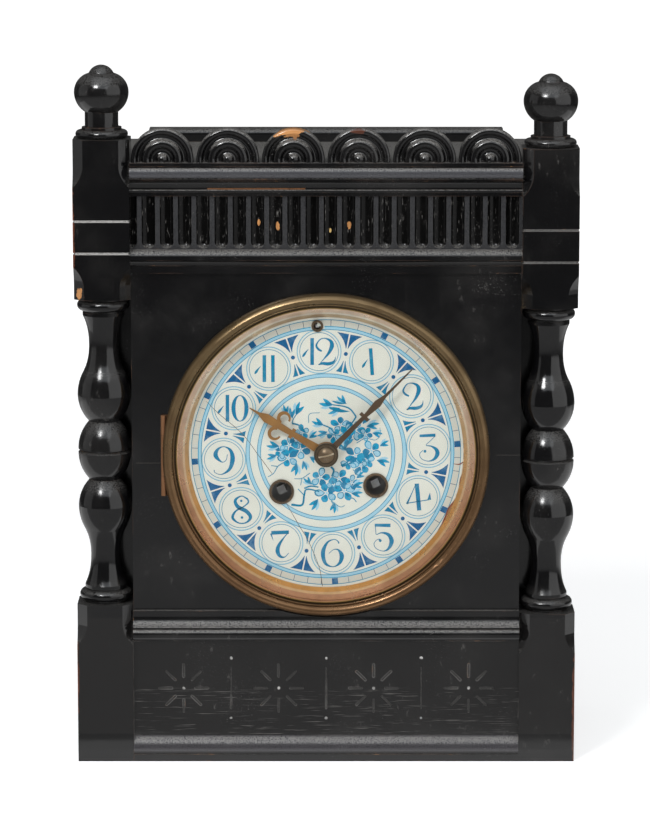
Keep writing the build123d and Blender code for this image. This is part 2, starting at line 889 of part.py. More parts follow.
# Cresting: half-roundels turned as discs and sawn off to stand on the cornice
with BuildPart() as cresting_roundels:
    roundel_pitch = 2 * panel_half / roundel_count
    roundel_z = top_z + roundel_rise
    roundel_y = front_y + roundel_setback
    roundel_back = roundel_y + roundel_depth
    crest_y = roundel_y + roundel_round
    hollow_y = crest_y + roundel_hollow
    hollow_edge = roundel_radius - rim_width
    torus_edge = hollow_edge - hollow_width
    dish_edge = torus_edge - torus_width
    button_edge = dish_edge - dish_width
    for step in range(roundel_count):
        roundel_x = (step + 0.5) * roundel_pitch - panel_half
        with BuildSketch(Plane.XY.offset(roundel_z).shift_origin((roundel_x, 0, roundel_z))) as section:
            with BuildLine():
                Polyline(
                    (0, roundel_y), (0, roundel_back),
                    (roundel_radius, roundel_back), (roundel_radius, crest_y)
                )
                rim_middle = roundel_radius - rim_width / 2
                ThreePointArc((roundel_radius, crest_y), (rim_middle, roundel_y), (hollow_edge, crest_y))
                ThreePointArc(
                    (hollow_edge, crest_y), (hollow_edge - hollow_width / 2, hollow_y), (torus_edge, crest_y)
                )
                ThreePointArc(
                    (torus_edge, crest_y), (torus_edge - torus_width / 2, roundel_y), (dish_edge, crest_y)
                )
                ThreePointArc(
                    (dish_edge, crest_y), (dish_edge - dish_width / 2, hollow_y), (button_edge, crest_y)
                )
                stud_x, stud_rise = dome_point(button_edge, roundel_round)
                ThreePointArc((button_edge, crest_y), (stud_x, crest_y - stud_rise), (0, roundel_y))
            make_face()
        revolve(axis=Axis((roundel_x, 0, roundel_z), (0, 1, 0)))
    bar(
        (-panel_half, roundel_y, top_z - roundel_radius),
        (2 * panel_half, roundel_depth, roundel_radius),
        mode=Mode.SUBTRACT,
    )
save(cresting_roundels, "cresting_roundels")

# Low gallery rail along the back of the top, rounded over
with BuildPart() as gallery_rail:
    bar(
        (gallery_inset - panel_half, back_y - gallery_depth, top_z),
        (2 * (panel_half - gallery_inset), gallery_depth, gallery_height),
    )
    fillet(gallery_rail.faces().sort_by(Axis.Z)[-1].edges().filter_by(Axis.X), gallery_round)
save(gallery_rail, "gallery_rail")


# Dial pan: a brass tray let into the panel, open in the middle, with a flange, feet for the movement,
# and two hinge knuckles
# with the hinge pin riveted in them
flange_y = panel_y - pan_flange_thickness
hinge_x = hinge_inset - bezel_radius
hinge_y = panel_y - side_clearance - hinge_knuckle_radius
hinge_foot = hinge_moving_length / 2 + side_clearance
hinge_half = hinge_foot + hinge_knuckle_length
dial_section = Plane.XY.offset(dial_z)
winding_holes = [(-winding_u, winding_v), (winding_u, winding_v)]
regulator_at = (0, regulator_v)
with BuildPart() as dial_pan:
    with BuildSketch(dial_section):
        with BuildLine():
            Polyline(
                (pan_opening_radius, dial_back_y),
                (pan_inner_radius, dial_back_y),
                (pan_inner_radius, flange_y),
                (pan_outer_radius + pan_flange, flange_y),
                (pan_outer_radius + pan_flange, panel_y),
                (pan_outer_radius, panel_y),
                (pan_outer_radius, pan_back_y),
                (pan_opening_radius, pan_back_y),
                close=True,
            )
        make_face()
    revolve(axis=dial_axis)
    leaf_width = bezel_wall - pan_outer_radius - hinge_x
    for knuckle_z in (dial_z - hinge_half, dial_z + hinge_foot):
        bar((hinge_x, flange_y, knuckle_z), (leaf_width, pan_flange_thickness, hinge_knuckle_length))
        with BuildSketch(Plane(origin=(hinge_x, hinge_y, knuckle_z))) as knuckle:
            Circle(hinge_knuckle_radius)
        extrude(to_extrude=knuckle.sketch, amount=hinge_knuckle_length)
    with BuildSketch(Plane(origin=(hinge_x, hinge_y, dial_z - hinge_half))) as hinge_pin:
        Circle(hinge_pin_radius)
    extrude(to_extrude=hinge_pin.sketch, amount=2 * hinge_half)
    for bearing in foot_bearings:
        rod(polar((0, 0), foot_pitch_radius, bearing), pan_back_y, plate_front_y, foot_radius)
    rod(regulator_at, dial_back_y, pan_back_y, regulator_radius + running_clearance, mode=Mode.SUBTRACT)
save(dial_pan, "dial_pan")

with BuildPart() as dial:
    with BuildSketch(facing(dial_back_y)):
        Circle(dial_radius)
        Circle(dial_centre_radius, mode=Mode.SUBTRACT)
        with Locations(*winding_holes):
            Circle(winding_hole_radius, mode=Mode.SUBTRACT)
        with Locations(regulator_at):
            Circle(regulator_eyelet_radius, mode=Mode.SUBTRACT)
    extrude(amount=dial_thickness)
save(dial, "dial")

# Brass eyelets: a tube through the dial with a flange on its face
with BuildPart() as dial_eyelets:
    for eyelet_at, tube_radius in (
        (winding_holes[0], winding_hole_radius),
        (winding_holes[1], winding_hole_radius),
        (regulator_at, regulator_eyelet_radius),
    ):
        tube_radius -= running_clearance
        rod(eyelet_at, dial_y - eyelet_height, dial_back_y, tube_radius)
        rod(eyelet_at, dial_y - eyelet_height, dial_y, tube_radius + eyelet_flange)
        rod(eyelet_at, dial_y - eyelet_height, dial_back_y, tube_radius - eyelet_wall, mode=Mode.SUBTRACT)
save(dial_eyelets, "dial_eyelets")

# Bezel: a turned rim with a bead, hollow behind for the pan flange, cut away at the hinge
bezel_back_y = panel_y - bezel_gap
bezel_inside_y = flange_y - bezel_gap
bezel_front_y = panel_y - bezel_height
seat_radius = glass_radius + glass_clearance
glass_back_y = bezel_inside_y + glass_clearance
glass_edge_y = glass_back_y - glass_thickness
lip_back_y = glass_edge_y - 2 * glass_clearance
with BuildPart() as bezel_rim:
    with BuildSketch(dial_section):
        crest = (bezel_radius - bezel_crest_inset, bezel_front_y)
        bead_start = (bezel_radius - bezel_bead_inset, bezel_front_y + bezel_bead_drop)
        bead_end = (bead_start[0] - bezel_bead_width, bead_start[1])
        lip_edge = seat_radius - bezel_lip_width
        with BuildLine():
            Polyline(
                bead_end,
                (lip_edge, lip_back_y - bezel_lip_thickness),
                (lip_edge, lip_back_y),
                (seat_radius, lip_back_y),
                (seat_radius, bezel_inside_y + bezel_skirt_length),
                (seat_radius + bezel_skirt_wall, bezel_inside_y + bezel_skirt_length),
                (seat_radius + bezel_skirt_wall, bezel_inside_y),
                (bezel_radius - bezel_wall, bezel_inside_y),
                (bezel_radius - bezel_wall, bezel_back_y),
                (bezel_radius, bezel_back_y),
                (bezel_radius, bezel_back_y - bezel_side_height),
            )
            TangentArc((bezel_radius, bezel_back_y - bezel_side_height), crest, tangent=(0, -1))
            TangentArc(crest, bead_start, tangent=(-1, 0))
            ThreePointArc(
                bead_start,
                (bead_start[0] - bezel_bead_width / 2, bead_start[1] - bezel_bead_width / 2),
                bead_end,
            )
        make_face()
    revolve(axis=dial_axis)
    relief_x = hinge_x - hinge_knuckle_radius - bezel_wall
    relief_y = hinge_y - hinge_knuckle_radius - side_clearance
    bar(
        (relief_x, relief_y, dial_z - hinge_half - side_clearance),
        (-pan_outer_radius - relief_x, panel_y - relief_y, 2 * (hinge_half + side_clearance)),
        mode=Mode.SUBTRACT,
    )
save(bezel_rim, "bezel_rim")

# Moving hinge knuckle, soldered under the rim
with BuildPart() as bezel_knuckle:
    with BuildSketch(Plane(origin=(hinge_x, hinge_y, dial_z - hinge_moving_length / 2))):
        Circle(hinge_knuckle_radius)
        with Locations((hinge_knuckle_radius / 2, -hinge_knuckle_radius / 2 - side_clearance / 2)):
            Rectangle(hinge_knuckle_radius, hinge_knuckle_radius + side_clearance)
        Circle(hinge_pin_radius + running_clearance, mode=Mode.SUBTRACT)
    extrude(amount=hinge_moving_length)
save(bezel_knuckle, "bezel_knuckle")

# Sight ring: a spun cone that holds the glass from behind and runs down to the dial
with BuildPart() as sight_ring:
    sight_foot_y = dial_y - sight_gap
    with BuildSketch(dial_section):
        with BuildLine():
            Polyline(
                (glass_radius, glass_back_y),
                (glass_radius - sight_thickness, glass_back_y),
                (sight_radius, sight_foot_y - sight_thickness / 2),
                (sight_radius, sight_foot_y),
                (sight_radius + sight_thickness, sight_foot_y),
                (glass_radius, glass_back_y + sight_thickness),
                close=True,
            )
        make_face()
    revolve(axis=dial_axis)
save(sight_ring, "sight_ring")

with BuildPart() as bezel_glass:
    rise_x, rise_y = dome_point(glass_radius, glass_rise)
    with BuildSketch(dial_section):
        with BuildLine():
            ThreePointArc(
                (glass_radius, glass_edge_y), (rise_x, glass_edge_y - rise_y), (0, glass_edge_y - glass_rise)
            )
            Line((0, glass_edge_y - glass_rise), (0, glass_back_y - glass_rise))
            ThreePointArc(
                (0, glass_back_y - glass_rise), (rise_x, glass_back_y - rise_y), (glass_radius, glass_back_y)
            )
            Line((glass_radius, glass_back_y), (glass_radius, glass_edge_y))
        make_face()
    revolve(axis=dial_axis)
save(bezel_glass, "bezel_glass")


def hand_plane(y, angle):
    """Plane at depth y whose local y runs along a hand, at an angle clockwise from upright."""
    turn = radians(angle)
    return Plane(origin=(0, y, dial_z), x_dir=(cos(turn), 0, -sin(turn)), z_dir=(0, -1, 0))


# Hands. Both have a tapered arm with a collar, a lozenge blade and a needle point; the hour hand carries
# two scrolls.
hour_back_y = dial_y - hour_hand_gap
hour_front_y = hour_back_y - hand_thickness
minute_back_y = hour_front_y - minute_hand_gap
minute_front_y = minute_back_y - hand_thickness


def hand_outline(length, root_half, arm_half, collar, collar_half, blade, blade_half, needle, needle_half):
    """One side of a hand from its boss to its tip: tapered arm, collar, lozenge blade and needle point."""
    return [
        (0, 0),
        (root_half, 0),
        (arm_half, collar),
        (collar_half, collar),
        (collar_half, collar + hand_collar_height),
        (arm_half, collar + hand_collar_height),
        (blade_half, blade),
        (needle_half, needle),
        (hand_tip_half, length),
        (0, length),
    ]


with BuildPart() as hour_hand:
    with BuildSketch(hand_plane(hour_back_y, hour_hand_angle)):
        with BuildLine():
            Polyline(
                *hand_outline(
                    hour_hand_length, hour_root_half, hour_arm_half, hour_collar, hour_collar_half,
                    hour_blade, hour_blade_half, hour_needle, hour_needle_half,
                )
            )
            mirror(about=Plane.YZ)
        make_face()
        Circle(hand_boss_radius)
        for side in (-1, 1):
            with Locations((side * scroll_u, scroll_at)):
                Circle(scroll_radius)
            with Locations((side * scroll_u, scroll_at - scroll_taper)):
                Circle(scroll_radius - scroll_width, mode=Mode.SUBTRACT)
            with Locations((side * (scroll_u - scroll_mouth / 2), scroll_at - scroll_radius / 2)):
                Rectangle(scroll_mouth, scroll_radius, mode=Mode.SUBTRACT)
        Circle(hour_pipe_radius + seat_clearance, mode=Mode.SUBTRACT)
    extrude(amount=hand_thickness)
save(hour_hand, "hour_hand")

with BuildPart() as minute_hand:
    with BuildSketch(hand_plane(minute_back_y, minute_hand_angle)):
        with BuildLine():
            Polyline(
                *hand_outline(
                    minute_hand_length, minute_root_half, minute_arm_half, minute_collar, minute_collar_half,
                    minute_blade, minute_blade_half, minute_needle, minute_needle_half,
                )
            )
            mirror(about=Plane.YZ)
        make_face()
        Circle(hand_nut_radius)
        Circle(cannon_pipe_radius + seat_clearance, mode=Mode.SUBTRACT)
    extrude(amount=hand_thickness)
save(minute_hand, "minute_hand")

with BuildPart() as hand_nut:
    nut_step = hand_thickness
    cap_x, cap_rise = dome_point(hand_nut_radius - nut_step, hand_nut_height - nut_step)
    with BuildSketch(dial_section):
        with BuildLine():
            Polyline(
                (0, minute_front_y - hand_nut_height),
                (0, minute_front_y - cannon_tip_length),
                (cannon_tip_radius + seat_clearance, minute_front_y - cannon_tip_length),
                (cannon_tip_radius + seat_clearance, minute_front_y),
                (hand_boss_radius, minute_front_y),
                (hand_boss_radius, minute_front_y - nut_step),
                (hand_nut_radius - nut_step, minute_front_y - nut_step),
            )
            ThreePointArc(
                (hand_nut_radius - nut_step, minute_front_y - nut_step),
                (cap_x, minute_front_y - nut_step - cap_rise),
                (0, minute_front_y - hand_nut_height),
            )
        make_face()
    revolve(axis=dial_axis)
    with BuildSketch(hand_plane(minute_front_y - hand_nut_height + hand_slot_depth, hand_slot_angle)):
        Rectangle(2 * hand_boss_radius, hand_slot_width)
    extrude(amount=hand_slot_depth, mode=Mode.SUBTRACT)
save(hand_nut, "hand_nut")


def teeth_outline(at, teeth, module, phase, leaf=False):
    """Clock teeth as plain trapezia with ample play: slim leaves on a pinion, fuller teeth on a wheel.
    One tooth is centred on the phase angle."""
    pitch = 2 * pi / teeth
    radius = teeth * module / 2
    tip = radius + module * (leaf_addendum if leaf else tooth_addendum)
    root = radius - module * (leaf_dedendum if leaf else tooth_dedendum)
    root_half = pitch * (leaf_root_share if leaf else tooth_root_share)
    tip_half = pitch * (leaf_tip_share if leaf else tooth_tip_share)
    points = []
    for tooth in range(teeth):
        middle = phase + tooth * pitch
        for reach, angle in ((root, -root_half), (tip, -tip_half), (tip, tip_half), (root, root_half)):
            points.append((at[0] + reach * cos(middle + angle), at[1] + reach * sin(middle + angle)))
    return points


def saw_outline(at, teeth, tip, root, lean):
    """Pointed teeth of a ratchet or an escape wheel; lean is 1 or -1 for the way the points face."""
    pitch = 2 * pi / teeth
    points = []
    for tooth in range(teeth):
        for reach, share in ((tip, 0), (tip, saw_tip_share), (root, saw_root_share)):
            angle = lean * (tooth + share) * pitch
            points.append((at[0] + reach * cos(angle), at[1] + reach * sin(angle)))
    return points


def disc(points, front, thickness):
    """Flat wheel cut to an outline, its front face at depth front."""
    with BuildSketch(facing(front + thickness)) as face:
        with BuildLine():
            Polyline(*points, close=True)
        make_face()
    extrude(to_extrude=face.sketch, amount=thickness)


def crossings(at, radius, hub, front, thickness):
    """Cut a wheel out to a rim, a hub and its arms."""
    with BuildSketch(facing(front + thickness)) as window:
        with Locations(at):
            Circle(radius)
            Circle(hub, mode=Mode.SUBTRACT)
            with PolarLocations(radius / 2, crossing_arms):
                Rectangle(radius, crossing_width, mode=Mode.SUBTRACT)
    extrude(to_extrude=window.sketch, amount=thickness, mode=Mode.SUBTRACT)


def arbor(at, radius, pivot):
    """Steel arbor between the plates with a pivot at each end."""
    rod(at, plate_inner_y + end_shake, back_plate_y - end_shake, radius)
    rod(at, plate_front_y, back_plate_rear_y, pivot)


# Where the arbors stand, from the tooth counts
centre_at = (0, 0)
strike_barrel_at, going_barrel_at = winding_holes
great_reach = (great_teeth + great_pinion_leaves) * great_module / 2
second_reach = (second_teeth + centre_leaves) * second_module / 2
second_at = meet(centre_at, second_reach, going_barrel_at, great_reach, 1)
pin_at = meet(centre_at, second_reach, strike_barrel_at, great_reach, -1)
third_at = polar(centre_at, (centre_teeth + third_leaves) * centre_module / 2, third_bearing)
third_reach = (third_teeth + escape_leaves) * third_module / 2
escape_at = (0, third_at[1] + sqrt(third_reach**2 - third_at[0] ** 2))
locking_at = polar(pin_at, (pin_teeth + locking_leaves) * pin_module / 2, locking_bearing)
fly_at = polar(locking_at, (locking_teeth + fly_leaves) * locking_module / 2, fly_bearing)
motion_reach = (minute_teeth + cannon_leaves) * cannon_module / 2
minute_at = (0, motion_reach)
hour_module = 2 * motion_reach / (hour_teeth + minute_leaves)
pallet_at = (0, escape_at[1] + pallet_rise)
hammer_at = (hammer_u, hammer_v)
bell_at = (bell_u, bell_v)
pillar_places = [polar((0, 0), pillar_pitch_radius, bearing) for bearing in pillar_bearings]
train_arbors = [second_at, centre_at, pin_at, hammer_at]
slim_arbors = [third_at, escape_at, locking_at, fly_at]

# Depths of the wheels between the plates
second_y = plate_inner_y + second_setback
great_y = plate_inner_y + great_setback
barrel_y = great_y + great_thickness
centre_wheel_y = back_plate_y - centre_wheel_inset
third_wheel_y = back_plate_y - third_wheel_inset
escape_y = back_plate_y - escape_inset
locking_y = back_plate_y - locking_inset


def plate_holes(front, winding_radius):
    """Pivot holes of one plate, its front face at depth front."""
    back = front + plate_thickness
    for at in train_arbors:
        rod(at, front, back, pivot_radius + running_clearance, mode=Mode.SUBTRACT)
    for at in slim_arbors:
        rod(at, front, back, slim_pivot_radius + running_clearance, mode=Mode.SUBTRACT)
    for at in winding_holes:
        rod(at, front, back, winding_radius + running_clearance, mode=Mode.SUBTRACT)
    for at in pillar_places:
        rod(at, front, back, pillar_tenon_radius + seat_clearance, mode=Mode.SUBTRACT)


# Plates of the movement. The front one carries the stud of the minute wheel.
with BuildPart() as front_plate:
    rod((0, 0), plate_front_y, plate_inner_y, plate_radius)
    plate_holes(plate_front_y, winding_arbor_radius)
    rod(centre_at, plate_front_y, plate_inner_y, arbor_radius + running_clearance, mode=Mode.SUBTRACT)
    rod(pallet_at, plate_front_y, plate_inner_y, slim_pivot_radius + running_clearance, mode=Mode.SUBTRACT)
    rod(minute_at, plate_front_y - minute_stud_length, plate_front_y, arbor_radius)
save(front_plate, "front_plate")

with BuildPart() as back_plate:
    rod((0, 0), back_plate_y, back_plate_rear_y, plate_radius)
    plate_holes(back_plate_y, winding_pivot_radius)
    rod(pallet_at, back_plate_y, back_plate_rear_y, pallet_hole_radius, mode=Mode.SUBTRACT)
    rod(hammer_at, back_plate_y, back_plate_rear_y, arbor_radius + running_clearance, mode=Mode.SUBTRACT)
    rod(bell_at, back_plate_y, back_plate_rear_y, bell_post_radius, mode=Mode.SUBTRACT)
save(back_plate, "back_plate")

with BuildPart() as pillars:
    for at in pillar_places:
        rod(at, plate_inner_y, back_plate_y, pillar_radius)
        rod(at, plate_front_y - pillar_tenon, back_plate_rear_y + pillar_tenon, pillar_tenon_radius)
save(pillars, "pillars")

# Motion work: cannon pinion, minute wheel and hour wheel in front of the plate
minute_wheel_y = plate_front_y - minute_wheel_setback
cannon_y = minute_wheel_y - cannon_overlap
hour_wheel_y = minute_wheel_y - minute_leaf_length + cannon_overlap
up = pi / 2
with BuildPart() as cannon_pinion:
    disc(
        teeth_outline(centre_at, cannon_leaves, cannon_module, up + pi / cannon_leaves, leaf=True),
        cannon_y,
        motion_thickness + 2 * cannon_overlap,
    )
    rod(centre_at, minute_front_y, cannon_y, cannon_pipe_radius)
    rod(centre_at, minute_front_y - cannon_tip_length, minute_front_y, cannon_tip_radius)
    rod(centre_at, minute_back_y, plate_front_y, arbor_radius + running_clearance, mode=Mode.SUBTRACT)
save(cannon_pinion, "cannon_pinion")

with BuildPart() as minute_wheel:
    disc(teeth_outline(minute_at, minute_teeth, cannon_module, -up), minute_wheel_y, motion_thickness)
    disc(
        teeth_outline(minute_at, minute_leaves, hour_module, -up + pi / minute_leaves, leaf=True),
        minute_wheel_y - minute_leaf_length,
        minute_leaf_length,
    )
    rod(
        minute_at,
        minute_wheel_y - minute_leaf_length,
        minute_wheel_y + motion_thickness,
        arbor_radius + running_clearance,
        mode=Mode.SUBTRACT,
    )
save(minute_wheel, "minute_wheel")

with BuildPart() as hour_wheel:
    disc(teeth_outline(centre_at, hour_teeth, hour_module, up), hour_wheel_y, motion_thickness)
    rod(centre_at, hour_front_y, hour_wheel_y, hour_pipe_radius)
    rod(centre_at, hour_front_y, hour_wheel_y + motion_thickness, hour_pipe_bore, mode=Mode.SUBTRACT)
save(hour_wheel, "hour_wheel")

# Barrels: a great wheel on a drum that holds the mainspring, turning on the winding arbor
for name, at, mate in (("going", going_barrel_at, second_at), ("strike", strike_barrel_at, pin_at)):
    with BuildPart() as barrel:
        disc(teeth_outline(at, great_teeth, great_module, bearing_of(at, mate)), great_y, great_thickness)
        rod(at, barrel_y, barrel_y + barrel_length, barrel_radius)
        rod(
            at, great_y, barrel_y + barrel_length, winding_arbor_radius + running_clearance, mode=Mode.SUBTRACT
        )
    save(barrel, f"{name}_barrel")

    ratchet_y = plate_front_y - ratchet_gap - ratchet_thickness
    with BuildPart() as winding_arbor:
        ratchet = saw_outline(at, ratchet_teeth, ratchet_radius, ratchet_root_radius, 1)
        disc(ratchet, ratchet_y, ratchet_thickness)
        rod(at, ratchet_y, back_plate_y - end_shake, winding_arbor_radius)
        rod(at, ratchet_y, back_plate_rear_y, winding_pivot_radius)
        with BuildSketch(facing(ratchet_y)) as square:
            with Locations(at):
                Rectangle(winding_square, winding_square, rotation=winding_square_turn)
        extrude(to_extrude=square.sketch, amount=winding_square_length)
    save(winding_arbor, f"{name}_winding_arbor")

# Clicks: a pawl on a stud beside each ratchet, drawn as it rides over a tooth
with BuildPart() as winding_clicks:
    for at, side in ((going_barrel_at, 1), (strike_barrel_at, -1)):
        stud = (at[0] + side * click_u, at[1] + click_v)
        nose = polar(at, ratchet_radius + click_clearance, 90 - side * click_nose_bearing)
        tail = polar(nose, click_length, 90 - side * click_nose_bearing)
        disc(
            [nose, (stud[0], stud[1] - click_stud_radius), tail, (stud[0], stud[1] + click_stud_radius)],
            ratchet_y,
            ratchet_thickness,
        )
        rod(stud, ratchet_y, plate_front_y, click_stud_radius)
save(winding_clicks, "winding_clicks")


def wheel(at, teeth, module, front, mate):
    """Crossed-out train wheel with a tooth pointing at the pinion that it drives."""
    disc(teeth_outline(at, teeth, module, bearing_of(at, mate)), front, wheel_thickness)
    rim = teeth * module / 2 - tooth_dedendum * module - crossing_rim
    crossings(at, rim, crossing_hub, front, wheel_thickness)


def pinion(at, leaves, module, mate, wheel_front, wheel_depth):
    """Pinion with a gap pointing at the wheel that drives it, a little longer than that wheel is thick."""
    phase = bearing_of(at, mate) + pi / leaves
    disc(
        teeth_outline(at, leaves, module, phase, leaf=True),
        wheel_front - leaf_overhang,
        wheel_depth + 2 * leaf_overhang,
    )


# Going train: second, centre, third and escape wheels
with BuildPart() as second_wheel:
    wheel(second_at, second_teeth, second_module, second_y, centre_at)
    pinion(second_at, great_pinion_leaves, great_module, going_barrel_at, great_y, great_thickness)
    arbor(second_at, arbor_radius, pivot_radius)
save(second_wheel, "second_wheel")

with BuildPart() as centre_wheel:
    wheel(centre_at, centre_teeth, centre_module, centre_wheel_y, third_at)
    pinion(centre_at, centre_leaves, second_module, second_at, second_y, wheel_thickness)
    rod(centre_at, minute_back_y + end_shake, back_plate_y - end_shake, arbor_radius)
    rod(centre_at, back_plate_y - end_shake, back_plate_rear_y, pivot_radius)
save(centre_wheel, "centre_wheel")

with BuildPart() as third_wheel:
    wheel(third_at, third_teeth, third_module, third_wheel_y, escape_at)
    pinion(third_at, third_leaves, centre_module, centre_at, centre_wheel_y, wheel_thickness)
    arbor(third_at, slim_arbor_radius, slim_pivot_radius)
save(third_wheel, "third_wheel")

with BuildPart() as escape_wheel:
    disc(
        saw_outline(escape_at, escape_teeth, escape_radius, escape_radius - escape_tooth, -1),
        escape_y,
        wheel_thickness,
    )
    crossings(
        escape_at, escape_radius - escape_tooth - crossing_rim, crossing_width, escape_y, wheel_thickness
    )
    pinion(escape_at, escape_leaves, third_module, third_at, third_wheel_y, wheel_thickness)
    arbor(escape_at, slim_arbor_radius, slim_pivot_radius)
save(escape_wheel, "escape_wheel")

# Strike train: pin wheel, locking wheel and the fly that steadies it
with BuildPart() as pin_wheel:
    wheel(pin_at, pin_teeth, pin_module, second_y, locking_at)
    for step in range(pin_count):
        pin_place = polar(pin_at, pin_circle_radius, 360 * step / pin_count)
        rod(pin_place, second_y, second_y + wheel_thickness + lifting_pin_length, lifting_pin_radius)
    pinion(pin_at, great_pinion_leaves, great_module, strike_barrel_at, great_y, great_thickness)
    arbor(pin_at, arbor_radius, pivot_radius)
save(pin_wheel, "pin_wheel")

with BuildPart() as locking_wheel:
    wheel(locking_at, locking_teeth, locking_module, locking_y, fly_at)
    pinion(locking_at, locking_leaves, pin_module, pin_at, second_y, wheel_thickness)
    arbor(locking_at, slim_arbor_radius, slim_pivot_radius)
save(locking_wheel, "locking_wheel")

with BuildPart() as fly:
    with BuildSketch(facing(locking_y - 2 * leaf_overhang)) as blade:
        with Locations(fly_at):
            Rectangle(fly_length, fly_thickness, rotation=fly_bearing)
    extrude(to_extrude=blade.sketch, amount=fly_width)
    pinion(fly_at, fly_leaves, locking_module, locking_at, locking_y, wheel_thickness)
    arbor(fly_at, slim_arbor_radius, slim_pivot_radius)
save(fly, "fly")

# Pallets: the anchor, its arbor and the crutch that embraces the pendulum rod
pivot_x, pivot_z = place(pallet_at)
pendulum_y = back_plate_rear_y + pendulum_gap
cock_rear_y = back_plate_rear_y + cock_thickness
crutch_y = cock_rear_y + 2 * side_clearance
crutch_rear_y = crutch_y + crutch_thickness
with BuildPart() as pallets:
    nib_x = (escape_radius + pallet_lift) * sin(radians(nib_bearing))
    nib_v = (escape_radius + pallet_lift) * cos(radians(nib_bearing)) - pallet_rise
    right_arm = [
        (0, pallet_hub),
        (nib_x + nib_width - nib_lean, nib_v + nib_height),
        (nib_x + nib_width, nib_v),
        (nib_x, nib_v),
        (nib_x - nib_lean, nib_v + nib_height / 2),
        (0, -pallet_hub),
    ]
    left_arm = [(-x, v) for x, v in reversed(right_arm[1:-1])]
    anchor_points = [(pallet_at[0] + x, pallet_at[1] + v) for x, v in right_arm + left_arm]
    disc(anchor_points, escape_y, pallet_thickness)
    rod(pallet_at, plate_inner_y + end_shake, crutch_rear_y, slim_arbor_radius)
    rod(pallet_at, plate_front_y, plate_inner_y + end_shake, slim_pivot_radius)
    fork_half = rod_radius + fork_clearance + fork_prong
    with BuildSketch(upright(crutch_rear_y, pivot_x, pivot_z)) as crutch:
        Circle(crutch_width)
        Rectangle(crutch_width, crutch_length, align=(Align.CENTER, Align.MAX))
        with Locations((0, -crutch_length)):
            Rectangle(2 * fork_half, crutch_width)
    extrude(to_extrude=crutch.sketch, amount=crutch_thickness)
    with BuildSketch(upright(pendulum_y + 2 * rod_radius, pivot_x, pivot_z - crutch_length)) as prongs:
        with Locations((fork_prong / 2 - fork_half, 0), (fork_half - fork_prong / 2, 0)):
            Rectangle(fork_prong, crutch_width)
    extrude(to_extrude=prongs.sketch, amount=pendulum_y + 2 * rod_radius - crutch_rear_y)
save(pallets, "pallets")

# Cock: a bracket on the back plate that bears the pallet arbor and the regulator and holds the suspension
cock_top_z = place(regulator_at)[1] + cock_head
with BuildPart() as pendulum_cock:
    bar(
        (pivot_x - cock_width / 2, back_plate_rear_y, pivot_z - cock_foot),
        (cock_width, cock_thickness, cock_top_z - pivot_z + cock_foot),
    )
    arm_end_y = pendulum_y + suspension_width / 2 + cock_slot_width
    bar(
        (pivot_x - cock_arm_width / 2, cock_rear_y, pivot_z + cock_arm_rise),
        (cock_arm_width, arm_end_y - cock_rear_y, cock_arm_height),
    )
    slot_y = pendulum_y - suspension_width / 2 - side_clearance
    bar(
        (pivot_x - cock_slot_width / 2, slot_y, pivot_z + cock_arm_rise),
        (cock_slot_width, arm_end_y - slot_y, cock_slot_height),
        mode=Mode.SUBTRACT,
    )
    rod(pallet_at, back_plate_rear_y, cock_rear_y, slim_arbor_radius + running_clearance, mode=Mode.SUBTRACT)
    rod(regulator_at, back_plate_rear_y, cock_rear_y, regulator_radius + running_clearance, mode=Mode.SUBTRACT)
save(pendulum_cock, "pendulum_cock")

with BuildPart() as regulator_arbor:
    rod(regulator_at, dial_y, cock_rear_y, regulator_radius)
    with BuildSketch(facing(dial_y + regulator_square_length)) as flats:
        with Locations(regulator_at):
            Circle(regulator_radius)
            Rectangle(regulator_square, regulator_square, mode=Mode.SUBTRACT)
    extrude(to_extrude=flats.sketch, amount=regulator_square_length, mode=Mode.SUBTRACT)
    rod(regulator_at, cock_rear_y, cock_rear_y + regulator_collar, regulator_eyelet_radius)
    rod(
        regulator_at,
        back_plate_rear_y - regulator_collar - side_clearance,
        back_plate_rear_y - side_clearance,
        regulator_eyelet_radius,
    )
save(regulator_arbor, "regulator_arbor")

with BuildPart() as suspension_spring:
    bar(
        (pivot_x - suspension_thickness / 2, pendulum_y - suspension_width / 2, pivot_z - suspension_drop),
        (suspension_thickness, suspension_width, suspension_drop + suspension_rise),
    )
save(suspension_spring, "suspension_spring")

# Pendulum: rod with a chop at its head, lens bob and rating nut
bob_z = pivot_z - pendulum_length
chop_z = pivot_z - suspension_drop - chop_height
nut_z = bob_z - bob_radius - rating_nut_height
with BuildPart() as pendulum_rod:
    bar(
        (pivot_x - chop_width / 2, pendulum_y - chop_width / 2, chop_z), (chop_width, chop_width, chop_height)
    )
    with BuildSketch(Plane(origin=(pivot_x, pendulum_y, nut_z - thread_length))):
        Circle(rod_radius)
    extrude(amount=chop_z - nut_z + thread_length)
save(pendulum_rod, "pendulum_rod")

with BuildPart() as pendulum_bob:
    lens_x, lens_rise = dome_point(bob_radius, (bob_thickness - bob_edge) / 2)
    with BuildSketch(Plane(origin=(pivot_x, pendulum_y, bob_z))):
        with BuildLine():
            Line((0, -bob_thickness / 2), (0, bob_thickness / 2))
            rim_back, rim_front = (bob_radius, bob_edge / 2), (bob_radius, -bob_edge / 2)
            ThreePointArc((0, bob_thickness / 2), (lens_x, bob_edge / 2 + lens_rise), rim_back)
            Line(rim_back, rim_front)
            ThreePointArc(rim_front, (lens_x, -bob_edge / 2 - lens_rise), (0, -bob_thickness / 2))
        make_face()
    revolve(axis=Axis((pivot_x, pendulum_y, bob_z), (0, 1, 0)))
    with BuildSketch(Plane(origin=(pivot_x, pendulum_y, bob_z - bob_radius))) as bob_bore:
        Circle(rod_radius + running_clearance)
    extrude(to_extrude=bob_bore.sketch, amount=2 * bob_radius, mode=Mode.SUBTRACT)
